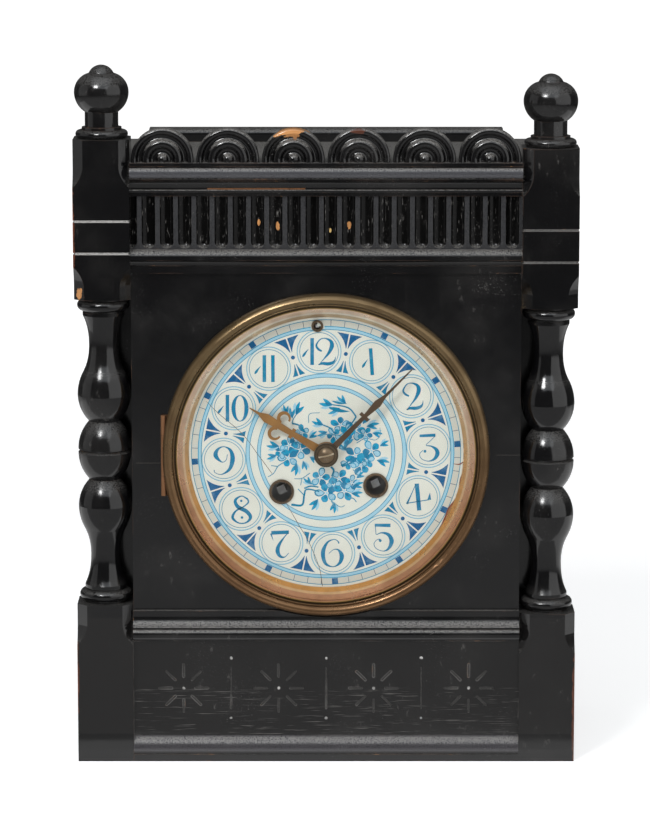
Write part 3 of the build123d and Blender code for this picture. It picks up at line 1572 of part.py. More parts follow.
save(pendulum_bob, "pendulum_bob")

with BuildPart() as rating_nut:
    with BuildSketch(Plane(origin=(pivot_x, pendulum_y, nut_z))):
        Circle(rating_nut_radius)
        Circle(rod_radius + seat_clearance, mode=Mode.SUBTRACT)
    extrude(amount=rating_nut_height)
save(rating_nut, "rating_nut")

# Bell, mouth forward, on a stand riveted into the back plate
bell_x, bell_z = place(bell_at)
bell_mouth_y = back_plate_rear_y + bell_space
bell_crown_y = bell_mouth_y + bell_height
with BuildPart() as bell:
    outer_x, outer_rise = dome_point(bell_radius, bell_height)
    inner_x, inner_rise = dome_point(bell_radius - bell_wall, bell_height - bell_wall)
    with BuildSketch(Plane(origin=(bell_x, bell_mouth_y, bell_z))):
        with BuildLine():
            Line((bell_radius - bell_wall, 0), (bell_radius, 0))
            ThreePointArc((bell_radius, 0), (outer_x, outer_rise), (0, bell_height))
            Line((0, bell_height), (0, bell_height - bell_wall))
            ThreePointArc((0, bell_height - bell_wall), (inner_x, inner_rise), (bell_radius - bell_wall, 0))
        make_face()
    revolve(axis=Axis((bell_x, bell_mouth_y, bell_z), (0, 1, 0)))
    rod(bell_at, bell_mouth_y, bell_crown_y, bell_screw_radius + running_clearance, mode=Mode.SUBTRACT)
save(bell, "bell")

with BuildPart() as bell_stand:
    bell_seat_y = bell_crown_y - bell_wall - side_clearance
    rod(bell_at, back_plate_y, bell_seat_y, bell_post_radius - seat_clearance)
    rod(bell_at, bell_seat_y, bell_crown_y + bell_nut_height, bell_screw_radius)
    rod(bell_at, bell_crown_y + seat_clearance, bell_crown_y + bell_nut_height, bell_nut_radius)
save(bell_stand, "bell_stand")

# Hammer: its arbor runs through both plates, with a tail for the lifting pins
hammer_y = bell_mouth_y + bell_wall
head_at = (bell_u - bell_radius - hammer_gap - hammer_head_radius, bell_v)


def strip(start, end, width):
    """Corners of a straight strip between two points."""
    angle = bearing_of(start, end) + up
    step = (width / 2 * cos(angle), width / 2 * sin(angle))
    return [
        (start[0] + step[0], start[1] + step[1]),
        (start[0] - step[0], start[1] - step[1]),
        (end[0] - step[0], end[1] - step[1]),
        (end[0] + step[0], end[1] + step[1]),
    ]


with BuildPart() as hammer:
    arbor(hammer_at, arbor_radius, pivot_radius)
    rod(hammer_at, back_plate_y - end_shake, hammer_y + hammer_arm_thickness, arbor_radius)
    disc(strip(hammer_at, head_at, hammer_arm_width), hammer_y, hammer_arm_thickness)
    rod(head_at, hammer_y - bell_wall / 2, hammer_y - bell_wall / 2 + hammer_head_length, hammer_head_radius)
    tail_angle = bearing_of(hammer_at, pin_at)
    tail_end = (hammer_at[0] + hammer_tail * cos(tail_angle), hammer_at[1] + hammer_tail * sin(tail_angle))
    disc(
        strip(hammer_at, tail_end, hammer_arm_width),
        second_y + wheel_thickness + side_clearance,
        hammer_arm_thickness,
    )
save(hammer, "hammer")

# Rear ring in the back board, with lugs for the straps and two knuckles with the door's pin riveted in
sleeve_radius = back_hole_radius - rear_ring_clearance
sleeve_inner = sleeve_radius - rear_ring_wall
rear_face_y = back_y + rear_flange_thickness
door_y = rear_face_y + door_gap
door_radius = sleeve_inner + door_overlap
door_hinge_x = -door_radius - hinge_knuckle_radius - 2 * side_clearance
door_hinge_y = rear_face_y + side_clearance + hinge_knuckle_radius
door_foot = door_moving_length / 2 + side_clearance
door_half = door_foot + door_knuckle_length
strap_places = [polar((0, 0), strap_radius, strap_bearing), polar((0, 0), strap_radius, 180 - strap_bearing)]
strap_turns = [strap_bearing, 180 - strap_bearing]
with BuildPart() as rear_ring:
    with BuildSketch(dial_section):
        with BuildLine():
            Polyline(
                (sleeve_inner, back_board_y),
                (sleeve_radius, back_board_y),
                (sleeve_radius, back_y),
                (sleeve_radius + rear_flange, back_y),
                (sleeve_radius + rear_flange, rear_face_y),
                (sleeve_inner, rear_face_y),
                close=True,
            )
        make_face()
    revolve(axis=dial_axis)
    with BuildSketch(facing(back_board_y + lug_thickness)) as lugs:
        for (lug_u, lug_v), lug_turn in zip(strap_places, strap_turns):
            with Locations(Location((lug_u, lug_v, 0), (0, 0, lug_turn))):
                Rectangle(lug_length, strap_width)
                Circle(strap_screw_radius + running_clearance, mode=Mode.SUBTRACT)
    extrude(to_extrude=lugs.sketch, amount=lug_thickness)
    for knuckle_z in (dial_z - door_half, dial_z + door_foot):
        bar(
            (door_hinge_x - hinge_knuckle_radius / 2, rear_face_y, knuckle_z),
            (hinge_knuckle_radius, hinge_knuckle_radius, door_knuckle_length),
        )
        with BuildSketch(Plane(origin=(door_hinge_x, door_hinge_y, knuckle_z))) as door_knuckle:
            Circle(hinge_knuckle_radius)
        extrude(to_extrude=door_knuckle.sketch, amount=door_knuckle_length)
    with BuildSketch(Plane(origin=(door_hinge_x, door_hinge_y, dial_z - door_half))) as door_pin:
        Circle(hinge_pin_radius)
    extrude(to_extrude=door_pin.sketch, amount=2 * door_half)
save(rear_ring, "rear_ring")

# Straps from the dial pan to the rear ring, each with its screw
with BuildPart() as fixing_straps:
    for (strap_u, strap_v), strap_turn in zip(strap_places, strap_turns):
        with BuildSketch(facing(back_board_y)) as strap:
            with Locations(Location((strap_u, strap_v, 0), (0, 0, strap_turn))):
                Rectangle(strap_thickness, strap_width)
        extrude(to_extrude=strap.sketch, amount=back_board_y - pan_back_y)
        screw_end_y = back_board_y + lug_thickness
        rod((strap_u, strap_v), back_board_y, screw_end_y, strap_screw_radius)
        rod((strap_u, strap_v), screw_end_y, screw_end_y + strap_screw_radius, strap_screw_head)
save(fixing_straps, "fixing_straps")

# Back door: a dished brass disc with its hinge knuckle and a turned knob
with BuildPart() as back_door:
    dish_radius = door_radius - door_rim
    with BuildSketch(dial_section):
        with BuildLine():
            Polyline(
                (0, door_y + door_rise),
                (dish_radius - door_rise, door_y + door_rise),
                (dish_radius, door_y),
                (door_radius, door_y),
                (door_radius, door_y + door_thickness),
                (dish_radius, door_y + door_thickness),
                (dish_radius - door_rise, door_y + door_rise + door_thickness),
                (0, door_y + door_rise + door_thickness),
                close=True,
            )
        make_face()
    revolve(axis=dial_axis)
    with BuildSketch(upright(door_y + door_thickness + knob_height, door_radius - knob_inset, dial_z)) as knob:
        Circle(knob_radius)
    extrude(to_extrude=knob.sketch, amount=knob_height)
    bar(
        (door_hinge_x, door_y, dial_z - door_moving_length / 2),
        (door_rim / 2, door_thickness, door_moving_length),
    )
    knuckle_foot = Plane(origin=(door_hinge_x, door_hinge_y, dial_z - door_moving_length / 2))
    with BuildSketch(knuckle_foot) as door_barrel:
        Circle(hinge_knuckle_radius)
    extrude(to_extrude=door_barrel.sketch, amount=door_moving_length)
    with BuildSketch(knuckle_foot) as door_bore:
        Circle(hinge_pin_radius + running_clearance)
    extrude(to_extrude=door_bore.sketch, amount=door_moving_length, mode=Mode.SUBTRACT)
save(back_door, "back_door")
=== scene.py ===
"""Looks of the ebonised mantel clock: worn black wood, toned brass and a blue and cream glazed dial."""
from math import cos, pi, radians, sin

import bpy
import numpy as np
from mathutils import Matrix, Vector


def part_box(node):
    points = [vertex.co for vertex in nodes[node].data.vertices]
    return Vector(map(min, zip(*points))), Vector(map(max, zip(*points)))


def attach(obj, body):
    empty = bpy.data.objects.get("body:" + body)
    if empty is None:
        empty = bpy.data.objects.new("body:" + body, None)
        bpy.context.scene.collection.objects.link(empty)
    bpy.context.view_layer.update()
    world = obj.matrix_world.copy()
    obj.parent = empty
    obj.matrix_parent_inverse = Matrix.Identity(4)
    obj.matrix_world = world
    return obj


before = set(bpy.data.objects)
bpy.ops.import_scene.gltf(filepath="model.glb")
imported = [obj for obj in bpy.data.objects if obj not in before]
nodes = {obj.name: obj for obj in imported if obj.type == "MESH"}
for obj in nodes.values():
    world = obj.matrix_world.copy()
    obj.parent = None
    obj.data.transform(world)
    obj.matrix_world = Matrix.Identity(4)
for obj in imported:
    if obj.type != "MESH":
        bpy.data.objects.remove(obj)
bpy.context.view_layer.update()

# Carcass of the case: pine boards and planted mouldings, stained black and polished with shellac.
# The boards are butted, glued and pinned, so the black runs over every joint. The arrises are rubbed brown
# in places, and grey dust lies on the ledges and in the hollows.
mm = 0.001
black, rubbed = (0.0030, 0.0029, 0.0032), (0.0100, 0.0094, 0.0092)
worn_brown, bare_wood, dust_grey = (0.045, 0.021, 0.011), (0.52, 0.24, 0.085), (0.200, 0.190, 0.178)


def add(tree, kind, inputs=None, **settings):
    """One shader node with its settings; an input is a constant or the socket that feeds it."""
    made = tree.nodes.new("ShaderNode" + kind)
    for key, value in settings.items():
        setattr(made, key, value)
    for key, value in (inputs or {}).items():
        if isinstance(value, bpy.types.NodeSocket):
            tree.links.new(value, made.inputs[key])
        else:
            made.inputs[key].default_value = value
    return made


def new_material(name):
    """A material with one glossy shader; returns the material, its tree and the shader."""
    material = bpy.data.materials.new(name)
    material.use_nodes = True
    tree = material.node_tree
    tree.nodes.clear()
    shader = add(tree, "BsdfPrincipled")
    add(tree, "OutputMaterial", {"Surface": shader.outputs["BSDF"]})
    return material, tree, shader


def noise(tree, scale, detail=3.0, stretch=(1, 1, 1), rough=0.55):
    """Noise from 0 to 1 on object coordinates, its cells stretched along each axis."""
    place = add(tree, "TexCoord").outputs["Object"]
    turned = add(tree, "Mapping", {"Vector": place, "Scale": stretch}).outputs["Vector"]
    made = add(tree, "TexNoise", {"Vector": turned, "Scale": scale, "Detail": detail, "Roughness": rough})
    return made.outputs["Fac"]


def ramp(tree, value, low, high, start=0.0, end=1.0):
    """Smooth step of a value from low to high, from start to end."""
    made = add(
        tree, "MapRange",
        {"Value": value, "From Min": low, "From Max": high, "To Min": start, "To Max": end},
        interpolation_type="SMOOTHSTEP",
    )
    return made.outputs["Result"]


def sums(tree, operation, first, second):
    """Arithmetic on two values."""
    return add(tree, "Math", {0: first, 1: second}, operation=operation).outputs["Value"]


def vectors(tree, operation, first, second=(0, 0, 0)):
    """Arithmetic on two vectors, with a vector as its result."""
    return add(tree, "VectorMath", {0: first, 1: second}, operation=operation).outputs["Vector"]


def blend(tree, share, first, second):
    """Colour between two colours by a share from 0 to 1."""
    whole = [(*tone, 1.0) if isinstance(tone, tuple) else tone for tone in (first, second)]
    return add(tree, "Mix", {0: share, 6: whole[0], 7: whole[1]}, data_type="RGBA").outputs[2]


def bump(tree, height, depth, below=None):
    """Normal of a bumped surface, over another normal if one is given."""
    inputs = {"Height": height, "Distance": depth, "Strength": 1.0}
    if below is not None:
        inputs["Normal"] = below
    return add(tree, "Bump", inputs).outputs["Normal"]


def edges(tree, radius):
    """Share from 0 to 1 that grows towards the arrises, from the turn of a rounded normal."""
    rounded = add(tree, "Bevel", {"Radius": radius}, samples=6).outputs["Normal"]
    plain = add(tree, "NewGeometry").outputs["Normal"]
    facing = add(tree, "VectorMath", {0: rounded, 1: plain}, operation="DOT_PRODUCT").outputs["Value"]
    return sums(tree, "SUBTRACT", 1.0, facing)


def crevices(tree, reach):
    """Share from 0 to 1 that grows in hollows and corners."""
    open_share = add(tree, "AmbientOcclusion", {"Distance": reach}, samples=8).outputs["AO"]
    return sums(tree, "SUBTRACT", 1.0, open_share)


def from_point(tree, centre):
    """Offset of the surface from a point given in millimetres."""
    return vectors(tree, "SUBTRACT", add(tree, "TexCoord").outputs["Object"], tuple(np.array(centre) * mm))


def inside(tree, low, high):
    """Share 1 in the box between two corners in millimetres, 0 from a tenth of a millimetre outside it."""
    low, high = np.array(low, float), np.array(high, float)
    size = vectors(tree, "ABSOLUTE", from_point(tree, (low + high) / 2))
    beyond = vectors(tree, "SUBTRACT", size, tuple((high - low) / 2 * mm))
    past = add(tree, "SeparateXYZ", {0: beyond}).outputs
    furthest = sums(tree, "MAXIMUM", past[0], sums(tree, "MAXIMUM", past[1], past[2]))
    return ramp(tree, furthest, 0.1 * mm, 0.0)


def near(tree, centre, radii):
    """Distance from a centre counted in the radii of an ellipsoid, both in millimetres."""
    scaled = vectors(tree, "DIVIDE", from_point(tree, centre), tuple(np.array(radii) * mm))
    return add(tree, "VectorMath", {0: scaled}, operation="LENGTH").outputs["Value"]


def ebonised(
    name, grain, dust=1.0, arris=worn_brown, polish=0.13, gloss=0.7,
    zones=(), chips=(), scratched=None, streaked=None,
):
    """Black shellac over brown wood: streaky grain, cloudy polish, rubbed arrises, dust on ledges and in
    hollows. A zone is the (low, high, colour, share) of a toned box, a chip the (centre, radii, colour) of a
    ragged bare patch, scratched the box with fine level scratches and streaked the box whose dust hangs in
    upright streaks; places are in millimetres."""
    arris_radius, hollow_reach, grain_depth, wave_depth = 0.7 * mm, 2.0 * mm, 0.035 * mm, 0.07 * mm
    material, tree, shader = new_material(name)
    streaks = noise(tree, 420.0, 4.0, grain)
    clouds = noise(tree, 28.0, 5.0)
    specks = noise(tree, 1900.0, 2.0)
    ragged = noise(tree, 260.0, 4.0)
    colour = blend(tree, ramp(tree, clouds, 0.42, 0.72), black, rubbed)
    colour = blend(tree, ramp(tree, streaks, 0.60, 0.80, 0.0, 0.35), colour, rubbed)
    handled = ramp(tree, noise(tree, 48.0, 4.0), 0.44, 0.70)
    worn = sums(tree, "MULTIPLY", edges(tree, arris_radius), handled)
    colour = blend(tree, ramp(tree, worn, 0.02, 0.14, 0.0, 0.8), colour, arris)
    through = sums(tree, "MULTIPLY", worn, ramp(tree, ragged, 0.58, 0.70))
    colour = blend(tree, ramp(tree, through, 0.05, 0.15, 0.0, 0.55), colour, bare_wood)
    for low, high, tone, share in zones:
        patchy = ramp(tree, specks, 0.25, 0.55, 0.4 * share, share)
        colour = blend(tree, sums(tree, "MULTIPLY", inside(tree, low, high), patchy), colour, tone)
    upward = add(tree, "SeparateXYZ", {0: add(tree, "NewGeometry").outputs["Normal"]}).outputs[2]
    settled = sums(tree, "MULTIPLY", ramp(tree, upward, 0.20, 0.70), ramp(tree, specks, 0.25, 0.66))
    hollows = ramp(tree, crevices(tree, hollow_reach), 0.35, 0.85)
    packed = sums(tree, "MULTIPLY", hollows, ramp(tree, specks, 0.35, 0.68))
    clusters = ramp(tree, noise(tree, 36.0, 5.0), 0.46, 0.70)
    flecks = sums(tree, "MULTIPLY", ramp(tree, specks, 0.64, 0.76), clusters)
    scuffs = ramp(tree, noise(tree, 330.0, 6.0, (1, 1, 0.5), 0.7), 0.58, 0.76, 0.0, 0.36)
    colour = blend(tree, sums(tree, "MULTIPLY", scuffs, ramp(tree, clouds, 0.48, 0.66)), colour, dust_grey)
    dirt = sums(tree, "MAXIMUM", flecks, sums(tree, "MAXIMUM", settled, packed))
    colour = blend(tree, ramp(tree, dirt, 0.0, 1.0, 0.0, 0.55 * dust), colour, dust_grey)
    if scratched:
        fine = ramp(tree, noise(tree, 2600.0, 3.0, (0.03, 1, 1)), 0.60, 0.72, 0.0, 0.40)
        colour = blend(tree, sums(tree, "MULTIPLY", fine, inside(tree, *scratched)), colour, dust_grey)
    if streaked:
        hung = ramp(tree, noise(tree, 1500.0, 4.0, (1, 1, 0.16)), 0.60, 0.74, 0.0, 0.55)
        colour = blend(tree, sums(tree, "MULTIPLY", hung, inside(tree, *streaked)), colour, dust_grey)
    for centre, radii, tone in chips:
        uneven = sums(tree, "ADD", near(tree, centre, radii), ramp(tree, ragged, 0.3, 0.7, -0.35, 0.35))
        fibre = blend(tree, ramp(tree, streaks, 0.35, 0.65), tuple(0.55 * part for part in tone), tone)
        colour = blend(tree, ramp(tree, uneven, 1.04, 0.96), colour, fibre)
    rough = ramp(tree, clouds, 0.3, 0.7, polish, 1.8 * polish)
    rough = sums(tree, "ADD", rough, ramp(tree, dirt, 0.0, 1.0, 0.0, 0.40))
    rough = sums(tree, "ADD", rough, ramp(tree, worn, 0.0, 0.2, 0.0, 0.25))
    tree.links.new(colour, shader.inputs["Base Color"])
    tree.links.new(rough, shader.inputs["Roughness"])
    shader.inputs["Specular IOR Level"].default_value = gloss
    relief = bump(tree, streaks, grain_depth)
    tree.links.new(bump(tree, noise(tree, 55.0, 3.0), wave_depth, relief), shader.inputs["Normal"])
    return material


def dress(material, *names):
    """Give kept pieces their finish."""
    for name in names:
        slots = nodes[name].data.materials
        slots.clear()
        slots.append(material)


upright_grain, level_grain = (1.0, 1.0, 0.05), (0.05, 1.0, 1.0)
dress(ebonised("ebonised_level", level_grain), "bottom_board", "gallery_rail")
wood_upright = ebonised("ebonised_upright", upright_grain)
dress(wood_upright, "left_side_panel", "right_side_panel", "corner_stiles", "back_board")
dress(ebonised("ebonised_top", level_grain, dust=1.8), "top_board")
dress(ebonised("ebonised_ledges", level_grain, dust=1.5), "architrave_moulding", "dado_moulding")
plinth_low, plinth_high = np.array(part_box("plinth_moulding")) / mm
# Painted reflection: the upper band of the plinth moulding is toned a bluish grey, the sheen of the light
# above.
hollow_rise, plinth_sheen_grey = 4.6, (0.060, 0.057, 0.062)
painted_plinth_sheen = (plinth_low + (0, 0, hollow_rise), plinth_high, plinth_sheen_grey, 0.9)
dress(ebonised("ebonised_plinth", level_grain, dust=1.5, zones=[painted_plinth_sheen]), "plinth_moulding")

# Front panel: one upright board of black-stained pine, glued to the corner stiles and sawn out for the pan.
# A short shrinkage crack has opened at each edge beside the bezel.
crack_tone, crack_half, crack_front, crack_back = (0.034, 0.030, 0.026), 0.1, -47.0, -45.0
cracks = [
    ((left, crack_front, height - crack_half), (right, crack_back, height + crack_half), crack_tone, 0.9)
    for left, right, height in ((-84.7, -73.6, 135.6), (75.8, 86.9, 139.2))
]
dress(ebonised("ebonised_front", upright_grain, zones=cracks), "front_panel")

# Base panel: a thin board planted on the front, with stars and dividers cut by hand and dots punched in. Pale
# dust lies in the cuts and white polish in the dots, and the lower half is scratched along the grain.
base_low, base_high = np.array(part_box("base_panel")) / mm
base_middle = (base_low[2] + base_high[2]) / 2
cut_skin, star_pitch, divider_dot_rise, dot_radii = 0.1, 42.7, 13.8, (0.62, 1.5, 0.62)
scuffed, chalk = (0.0085, 0.0078, 0.0074), (0.58, 0.57, 0.55)
base_cuts = [
    (base_low, (base_high[0], base_low[1] + cut_skin, base_high[2]), scuffed, 0.6),
    ((base_low[0], base_low[1] + 2 * cut_skin, base_low[2]), base_high, dust_grey, 0.17),
]
dots = [((step - 1.5) * star_pitch, 0.0) for step in range(4)]
dots += [(step * star_pitch, side * divider_dot_rise) for step in (-1, 0, 1) for side in (-1, 1)]
punched = [((right, base_low[1], base_middle + up), dot_radii, chalk) for right, up in dots]
lower_half = (base_low, (base_high[0], base_low[1] + cut_skin, base_middle))
wood_base = ebonised(
    "ebonised_base", level_grain, arris=dust_grey, zones=base_cuts, chips=punched, scratched=lower_half
)
dress(wood_base, "base_panel")

# Frieze: a board gouged with upright flutes and planted above the dial. Its lands are rubbed grey, dust
# hangs in the flutes, and four of them have lost a scrap of skin down to the wood. The flutes are painted
# blacker than the rest of the wood, a painted shade.
frieze_low, frieze_high = np.array(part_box("frieze_panel")) / mm
land_skin, land_share, scrap_depth = 0.12, 0.9, 3.0
rubbed_land, flute_shade_black, straw = (0.040, 0.040, 0.042), (0.0012, 0.0011, 0.0010), (0.62, 0.42, 0.16)
flutes = ((frieze_low[0], frieze_low[1] + land_skin, frieze_low[2]), frieze_high)
lands = (frieze_low, (frieze_high[0], frieze_low[1] + land_skin, frieze_high[2]))
# Painted shade: the flutes are toned blacker than the black of the wood.
frieze_zones = [(*flutes, flute_shade_black, land_share), (*lands, rubbed_land, land_share)]
frieze_chips = [
    ((right, frieze_low[1], up), (half_width, scrap_depth, half_height), tone)
    for right, up, half_width, half_height, tone in (
        (-29.7, 243.9, 0.9, 1.6, bare_wood), (-21.4, 241.7, 1.0, 2.0, bare_wood),
        (1.8, 240.3, 0.6, 1.2, straw), (10.1, 242.1, 0.9, 1.7, bare_wood),
    )
]
wood_frieze = ebonised(
    "ebonised_frieze", upright_grain, gloss=0.22, zones=frieze_zones, chips=frieze_chips, streaked=flutes
)
dress(wood_frieze, "frieze_panel")

# Cornice: a moulding planed from one length of pine and glued between the posts, under the cresting. Its
# torus is painted a lighter grey, a painted reflection of the light above, and one stretch of its bead is
# rubbed through to the wood. The dust on its ledges is laid on thick: real dust, and also a painted sheen.
cornice_low, cornice_high = np.array(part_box("cornice_moulding")) / mm
torus_rise, torus_drop, torus_sheen_grey = 8.4, 2.4, (0.060, 0.060, 0.066)
# Painted reflection: the torus is toned a lighter grey.
painted_torus_sheen = (cornice_low + (0, 0, torus_rise), cornice_high - (0, 0, torus_drop), torus_sheen_grey, 0.9)
rubbed_bead = ((-52.3, -60.0, 258.4), (-9.2, -40.0, 259.0), (0.20, 0.085, 0.032), 0.85)
cornice_zones = [rubbed_bead, painted_torus_sheen]
wood_cornice = ebonised("ebonised_cornice", level_grain, dust=1.5, polish=0.10, zones=cornice_zones)
dress(wood_cornice, "cornice_moulding")

# Corner posts, each turned from one stick between square blocks, with a turned ball finial pegged on top.
# White polish has dried in the two scored lines of each upper block, the outer arrises are rubbed red brown,
# and the lower blocks are scuffed above a black band.
groove_drops, groove_width, foot_black = (35.8, 50.1), 0.9, (0.0008, 0.0008, 0.0009)
front_corner, back_corner, red_brown = (-112.0, -53.0), (112.0, -26.0), (0.110, 0.034, 0.017)
post_zones = [
    ((*front_corner, 13.0), (*back_corner, 66.0), scuffed, 0.7),
    ((*front_corner, 5.5), (*back_corner, 12.6), foot_black, 1.0),
]
for post, whiteness in (("left_post", 0.9), ("right_post", 0.3)):
    low, high = np.array(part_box(post)) / mm
    rise = np.array([0, 0, groove_width / 2])
    for drop in groove_drops:
        middle = high[2] - drop
        groove = ((low[0], low[1], middle) - rise, (high[0], high[1], middle) + rise)
        post_zones.append((*groove, chalk, whiteness))
post_chips = [
    ((-110.0, -51.0, 212.0), (2.4, 3.0, 3.2), bare_wood),
    ((111.5, -52.0, 25.0), (0.9, 1.6, 24.0), red_brown),
    ((-111.5, -52.0, 238.0), (0.7, 1.6, 23.0), red_brown),
    ((-111.5, -52.0, 40.0), (0.6, 1.4, 18.0), red_brown),
]
wood_turned = ebonised(
    "ebonised_turned", upright_grain, dust=0.45, polish=0.09, zones=post_zones, chips=post_chips
)
dress(wood_turned, "left_post", "right_post", "left_finial", "right_finial")

# Cresting: discs of wood turned on the lathe, sawn in half and glued on the cornice. The third has lost a
# crescent of its rim, and the fourth a splinter.
crest_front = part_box("cresting_roundels")[0][1] / mm
crest_chips = [
    ((-15.8, crest_front, 284.8), (8.4, 9.0, 3.4), bare_wood),
    ((14.3, crest_front, 284.2), (3.9, 8.0, 1.2), red_brown),
]
dress(ebonised("ebonised_crest", level_grain, dust=1.8, polish=0.08, chips=crest_chips), "cresting_roundels")

# Brasswork of the dial pan, the back door and the movement: spun, turned or sawn, lacquered, and now toned
# brown. The pan is let into the front panel, and the plates of the movement stand behind it on its feet.


def aged_brass(name, bright, toned, rough=0.3, shade=0.6, metal=1.0):
    """Lacquered brass gone brown: cloudy tone, painted shade in the hollows, fine polishing scratches."""
    material, tree, shader = new_material(name)
    clouds = noise(tree, 60.0, 4.0)
    colour = blend(tree, ramp(tree, clouds, 0.35, 0.70), bright, toned)
    # Painted shade: the colour darkens to brown-black in hollows and corners, by the share given as shade.
    hollow_shade = ramp(tree, crevices(tree, 3.0 * mm), 0.15, 0.85, 0.0, shade)
    colour = blend(tree, hollow_shade, colour, (0.025, 0.014, 0.007))
    tree.links.new(colour, shader.inputs["Base Color"])
    tree.links.new(ramp(tree, clouds, 0.3, 0.7, rough, rough + 0.16), shader.inputs["Roughness"])
    tree.links.new(bump(tree, noise(tree, 1500.0, 2.0), 0.012 * mm), shader.inputs["Normal"])
    shader.inputs["Metallic"].default_value = metal
    return material


pan_brass = aged_brass("pan_brass", (0.32, 0.155, 0.075), (0.20, 0.095, 0.042), 0.40, metal=0.6)
dress(pan_brass, "dial_pan", "bezel_knuckle")
movement_brass = aged_brass("movement_brass", (0.62, 0.44, 0.18), (0.45, 0.30, 0.12), 0.28)
dress(
    movement_brass, "back_plate", "cannon_pinion", "minute_wheel", "hour_wheel", "going_barrel",
    "strike_barrel", "second_wheel", "centre_wheel", "third_wheel", "escape_wheel", "pin_wheel",
    "locking_wheel", "fly", "pendulum_cock", "pendulum_bob", "rating_nut", "rear_ring", "back_door",
)
plate_brass = aged_brass("plate_brass", (0.80, 0.68, 0.46), (0.66, 0.54, 0.34), 0.5, shade=0.1, metal=0.2)
dress(plate_brass, "front_plate")
dress(aged_brass("bell_metal", (0.66, 0.52, 0.26), (0.50, 0.36, 0.16), 0.22), "bell")

# Bezel and sight ring: turned from cast brass in bands, an orange slope next to the dial, a pinkish bright
# flat, a dark quirk and a brown rim. The tone is painted silvery at the top and warmer below: a painted
# reflection of the light above.
dial_low, dial_high = np.array(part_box("dial"))
dial_x, dial_z = (dial_low[0] + dial_high[0]) / 2, (dial_low[2] + dial_high[2]) / 2
bezel_bands = [
    (0.0, (0.70, 0.50, 0.32), (0.86, 0.42, 0.13)), (63.1, (0.95, 0.80, 0.66), (0.94, 0.60, 0.32)),
    (64.0, (0.88, 0.63, 0.47), (0.72, 0.36, 0.20)), (66.3, (0.40, 0.27, 0.10), (0.46, 0.28, 0.09)),
    (66.7, (0.050, 0.032, 0.014), (0.045, 0.026, 0.010)), (67.7, (0.205, 0.140, 0.070), (0.20, 0.110, 0.052)),
]


def turned_bands(name, bands, rough, metal, slot=None):
    """Toned brass in rings: a band is (inner radius in millimetres, colour at the top, colour at the foot). A
    slot is the (slope, half width, reach, colour) of a bright line across the middle, in millimetres."""
    material, tree, shader = new_material(name)
    offset = from_point(tree, (dial_x / mm, 0, dial_z / mm))
    flat = vectors(tree, "MULTIPLY", offset, (1, 0, 1))
    radius = add(tree, "VectorMath", {0: flat}, operation="LENGTH").outputs["Value"]
    # Painted reflection: each band runs from its top colour to its foot colour down the dial.
    foot_sheen_share = ramp(tree, add(tree, "SeparateXYZ", {0: offset}).outputs[2], 45 * mm, -40 * mm)
    clouds = noise(tree, 60.0, 4.0)
    colour = bands[0][1]
    for start, top, foot in bands:
        tone = blend(tree, foot_sheen_share, top, foot)
        colour = blend(tree, ramp(tree, radius, (start - 0.15) * mm, (start + 0.15) * mm), colour, tone)
    dulled = vectors(tree, "MULTIPLY", colour, (0.55, 0.50, 0.45))
    colour = blend(tree, ramp(tree, clouds, 0.40, 0.75, 0.0, 0.8), colour, dulled)
    if slot:
        slope, half, reach, bright = slot
        across = (-sin(slope), 0, cos(slope))
        aside = add(tree, "VectorMath", {0: offset, 1: across}, operation="DOT_PRODUCT").outputs["Value"]
        line = ramp(tree, sums(tree, "ABSOLUTE", aside, 0.0), (half + 0.1) * mm, half * mm)
        line = sums(tree, "MULTIPLY", line, ramp(tree, radius, (reach + 0.2) * mm, reach * mm))
        colour = blend(tree, line, colour, bright)
    tree.links.new(colour, shader.inputs["Base Color"])
    tree.links.new(ramp(tree, clouds, 0.3, 0.7, rough, rough + 0.14), shader.inputs["Roughness"])
    tree.links.new(bump(tree, noise(tree, 1500.0, 2.0), 0.010 * mm), shader.inputs["Normal"])
    shader.inputs["Metallic"].default_value = metal
    return material


dress(turned_bands("bezel_brass", bezel_bands, 0.24, 0.75), "bezel_rim", "sight_ring")

# Steel of the movement: arbors, pillars, straps and the hammer, filed, polished and a little tarnished. The
# three arbors that take a key are duller.


def polished_steel(name, metal, rough):
    """Grey steel with a cloudy tarnish and fine file marks."""
    material, tree, shader = new_material(name)
    clouds = noise(tree, 90.0, 4.0)
    colour = blend(tree, ramp(tree, clouds, 0.4, 0.75), (0.40, 0.40, 0.41), (0.20, 0.18, 0.16))
    tree.links.new(colour, shader.inputs["Base Color"])
    tree.links.new(ramp(tree, clouds, 0.3, 0.7, rough, rough + 0.2), shader.inputs["Roughness"])
    tree.links.new(bump(tree, noise(tree, 1200.0, 2.0, (1, 0.1, 1)), 0.01 * mm), shader.inputs["Normal"])
    shader.inputs["Metallic"].default_value = metal
    return material


bright_steel = polished_steel("polished_steel", 0.8, 0.22)
dress(
    bright_steel, "pillars", "winding_clicks", "pallets", "suspension_spring", "pendulum_rod", "bell_stand",
    "hammer", "fixing_straps",
)
key_steel = polished_steel("key_steel", 0.2, 0.45)
dress(key_steel, "going_winding_arbor", "strike_winding_arbor", "regulator_arbor")

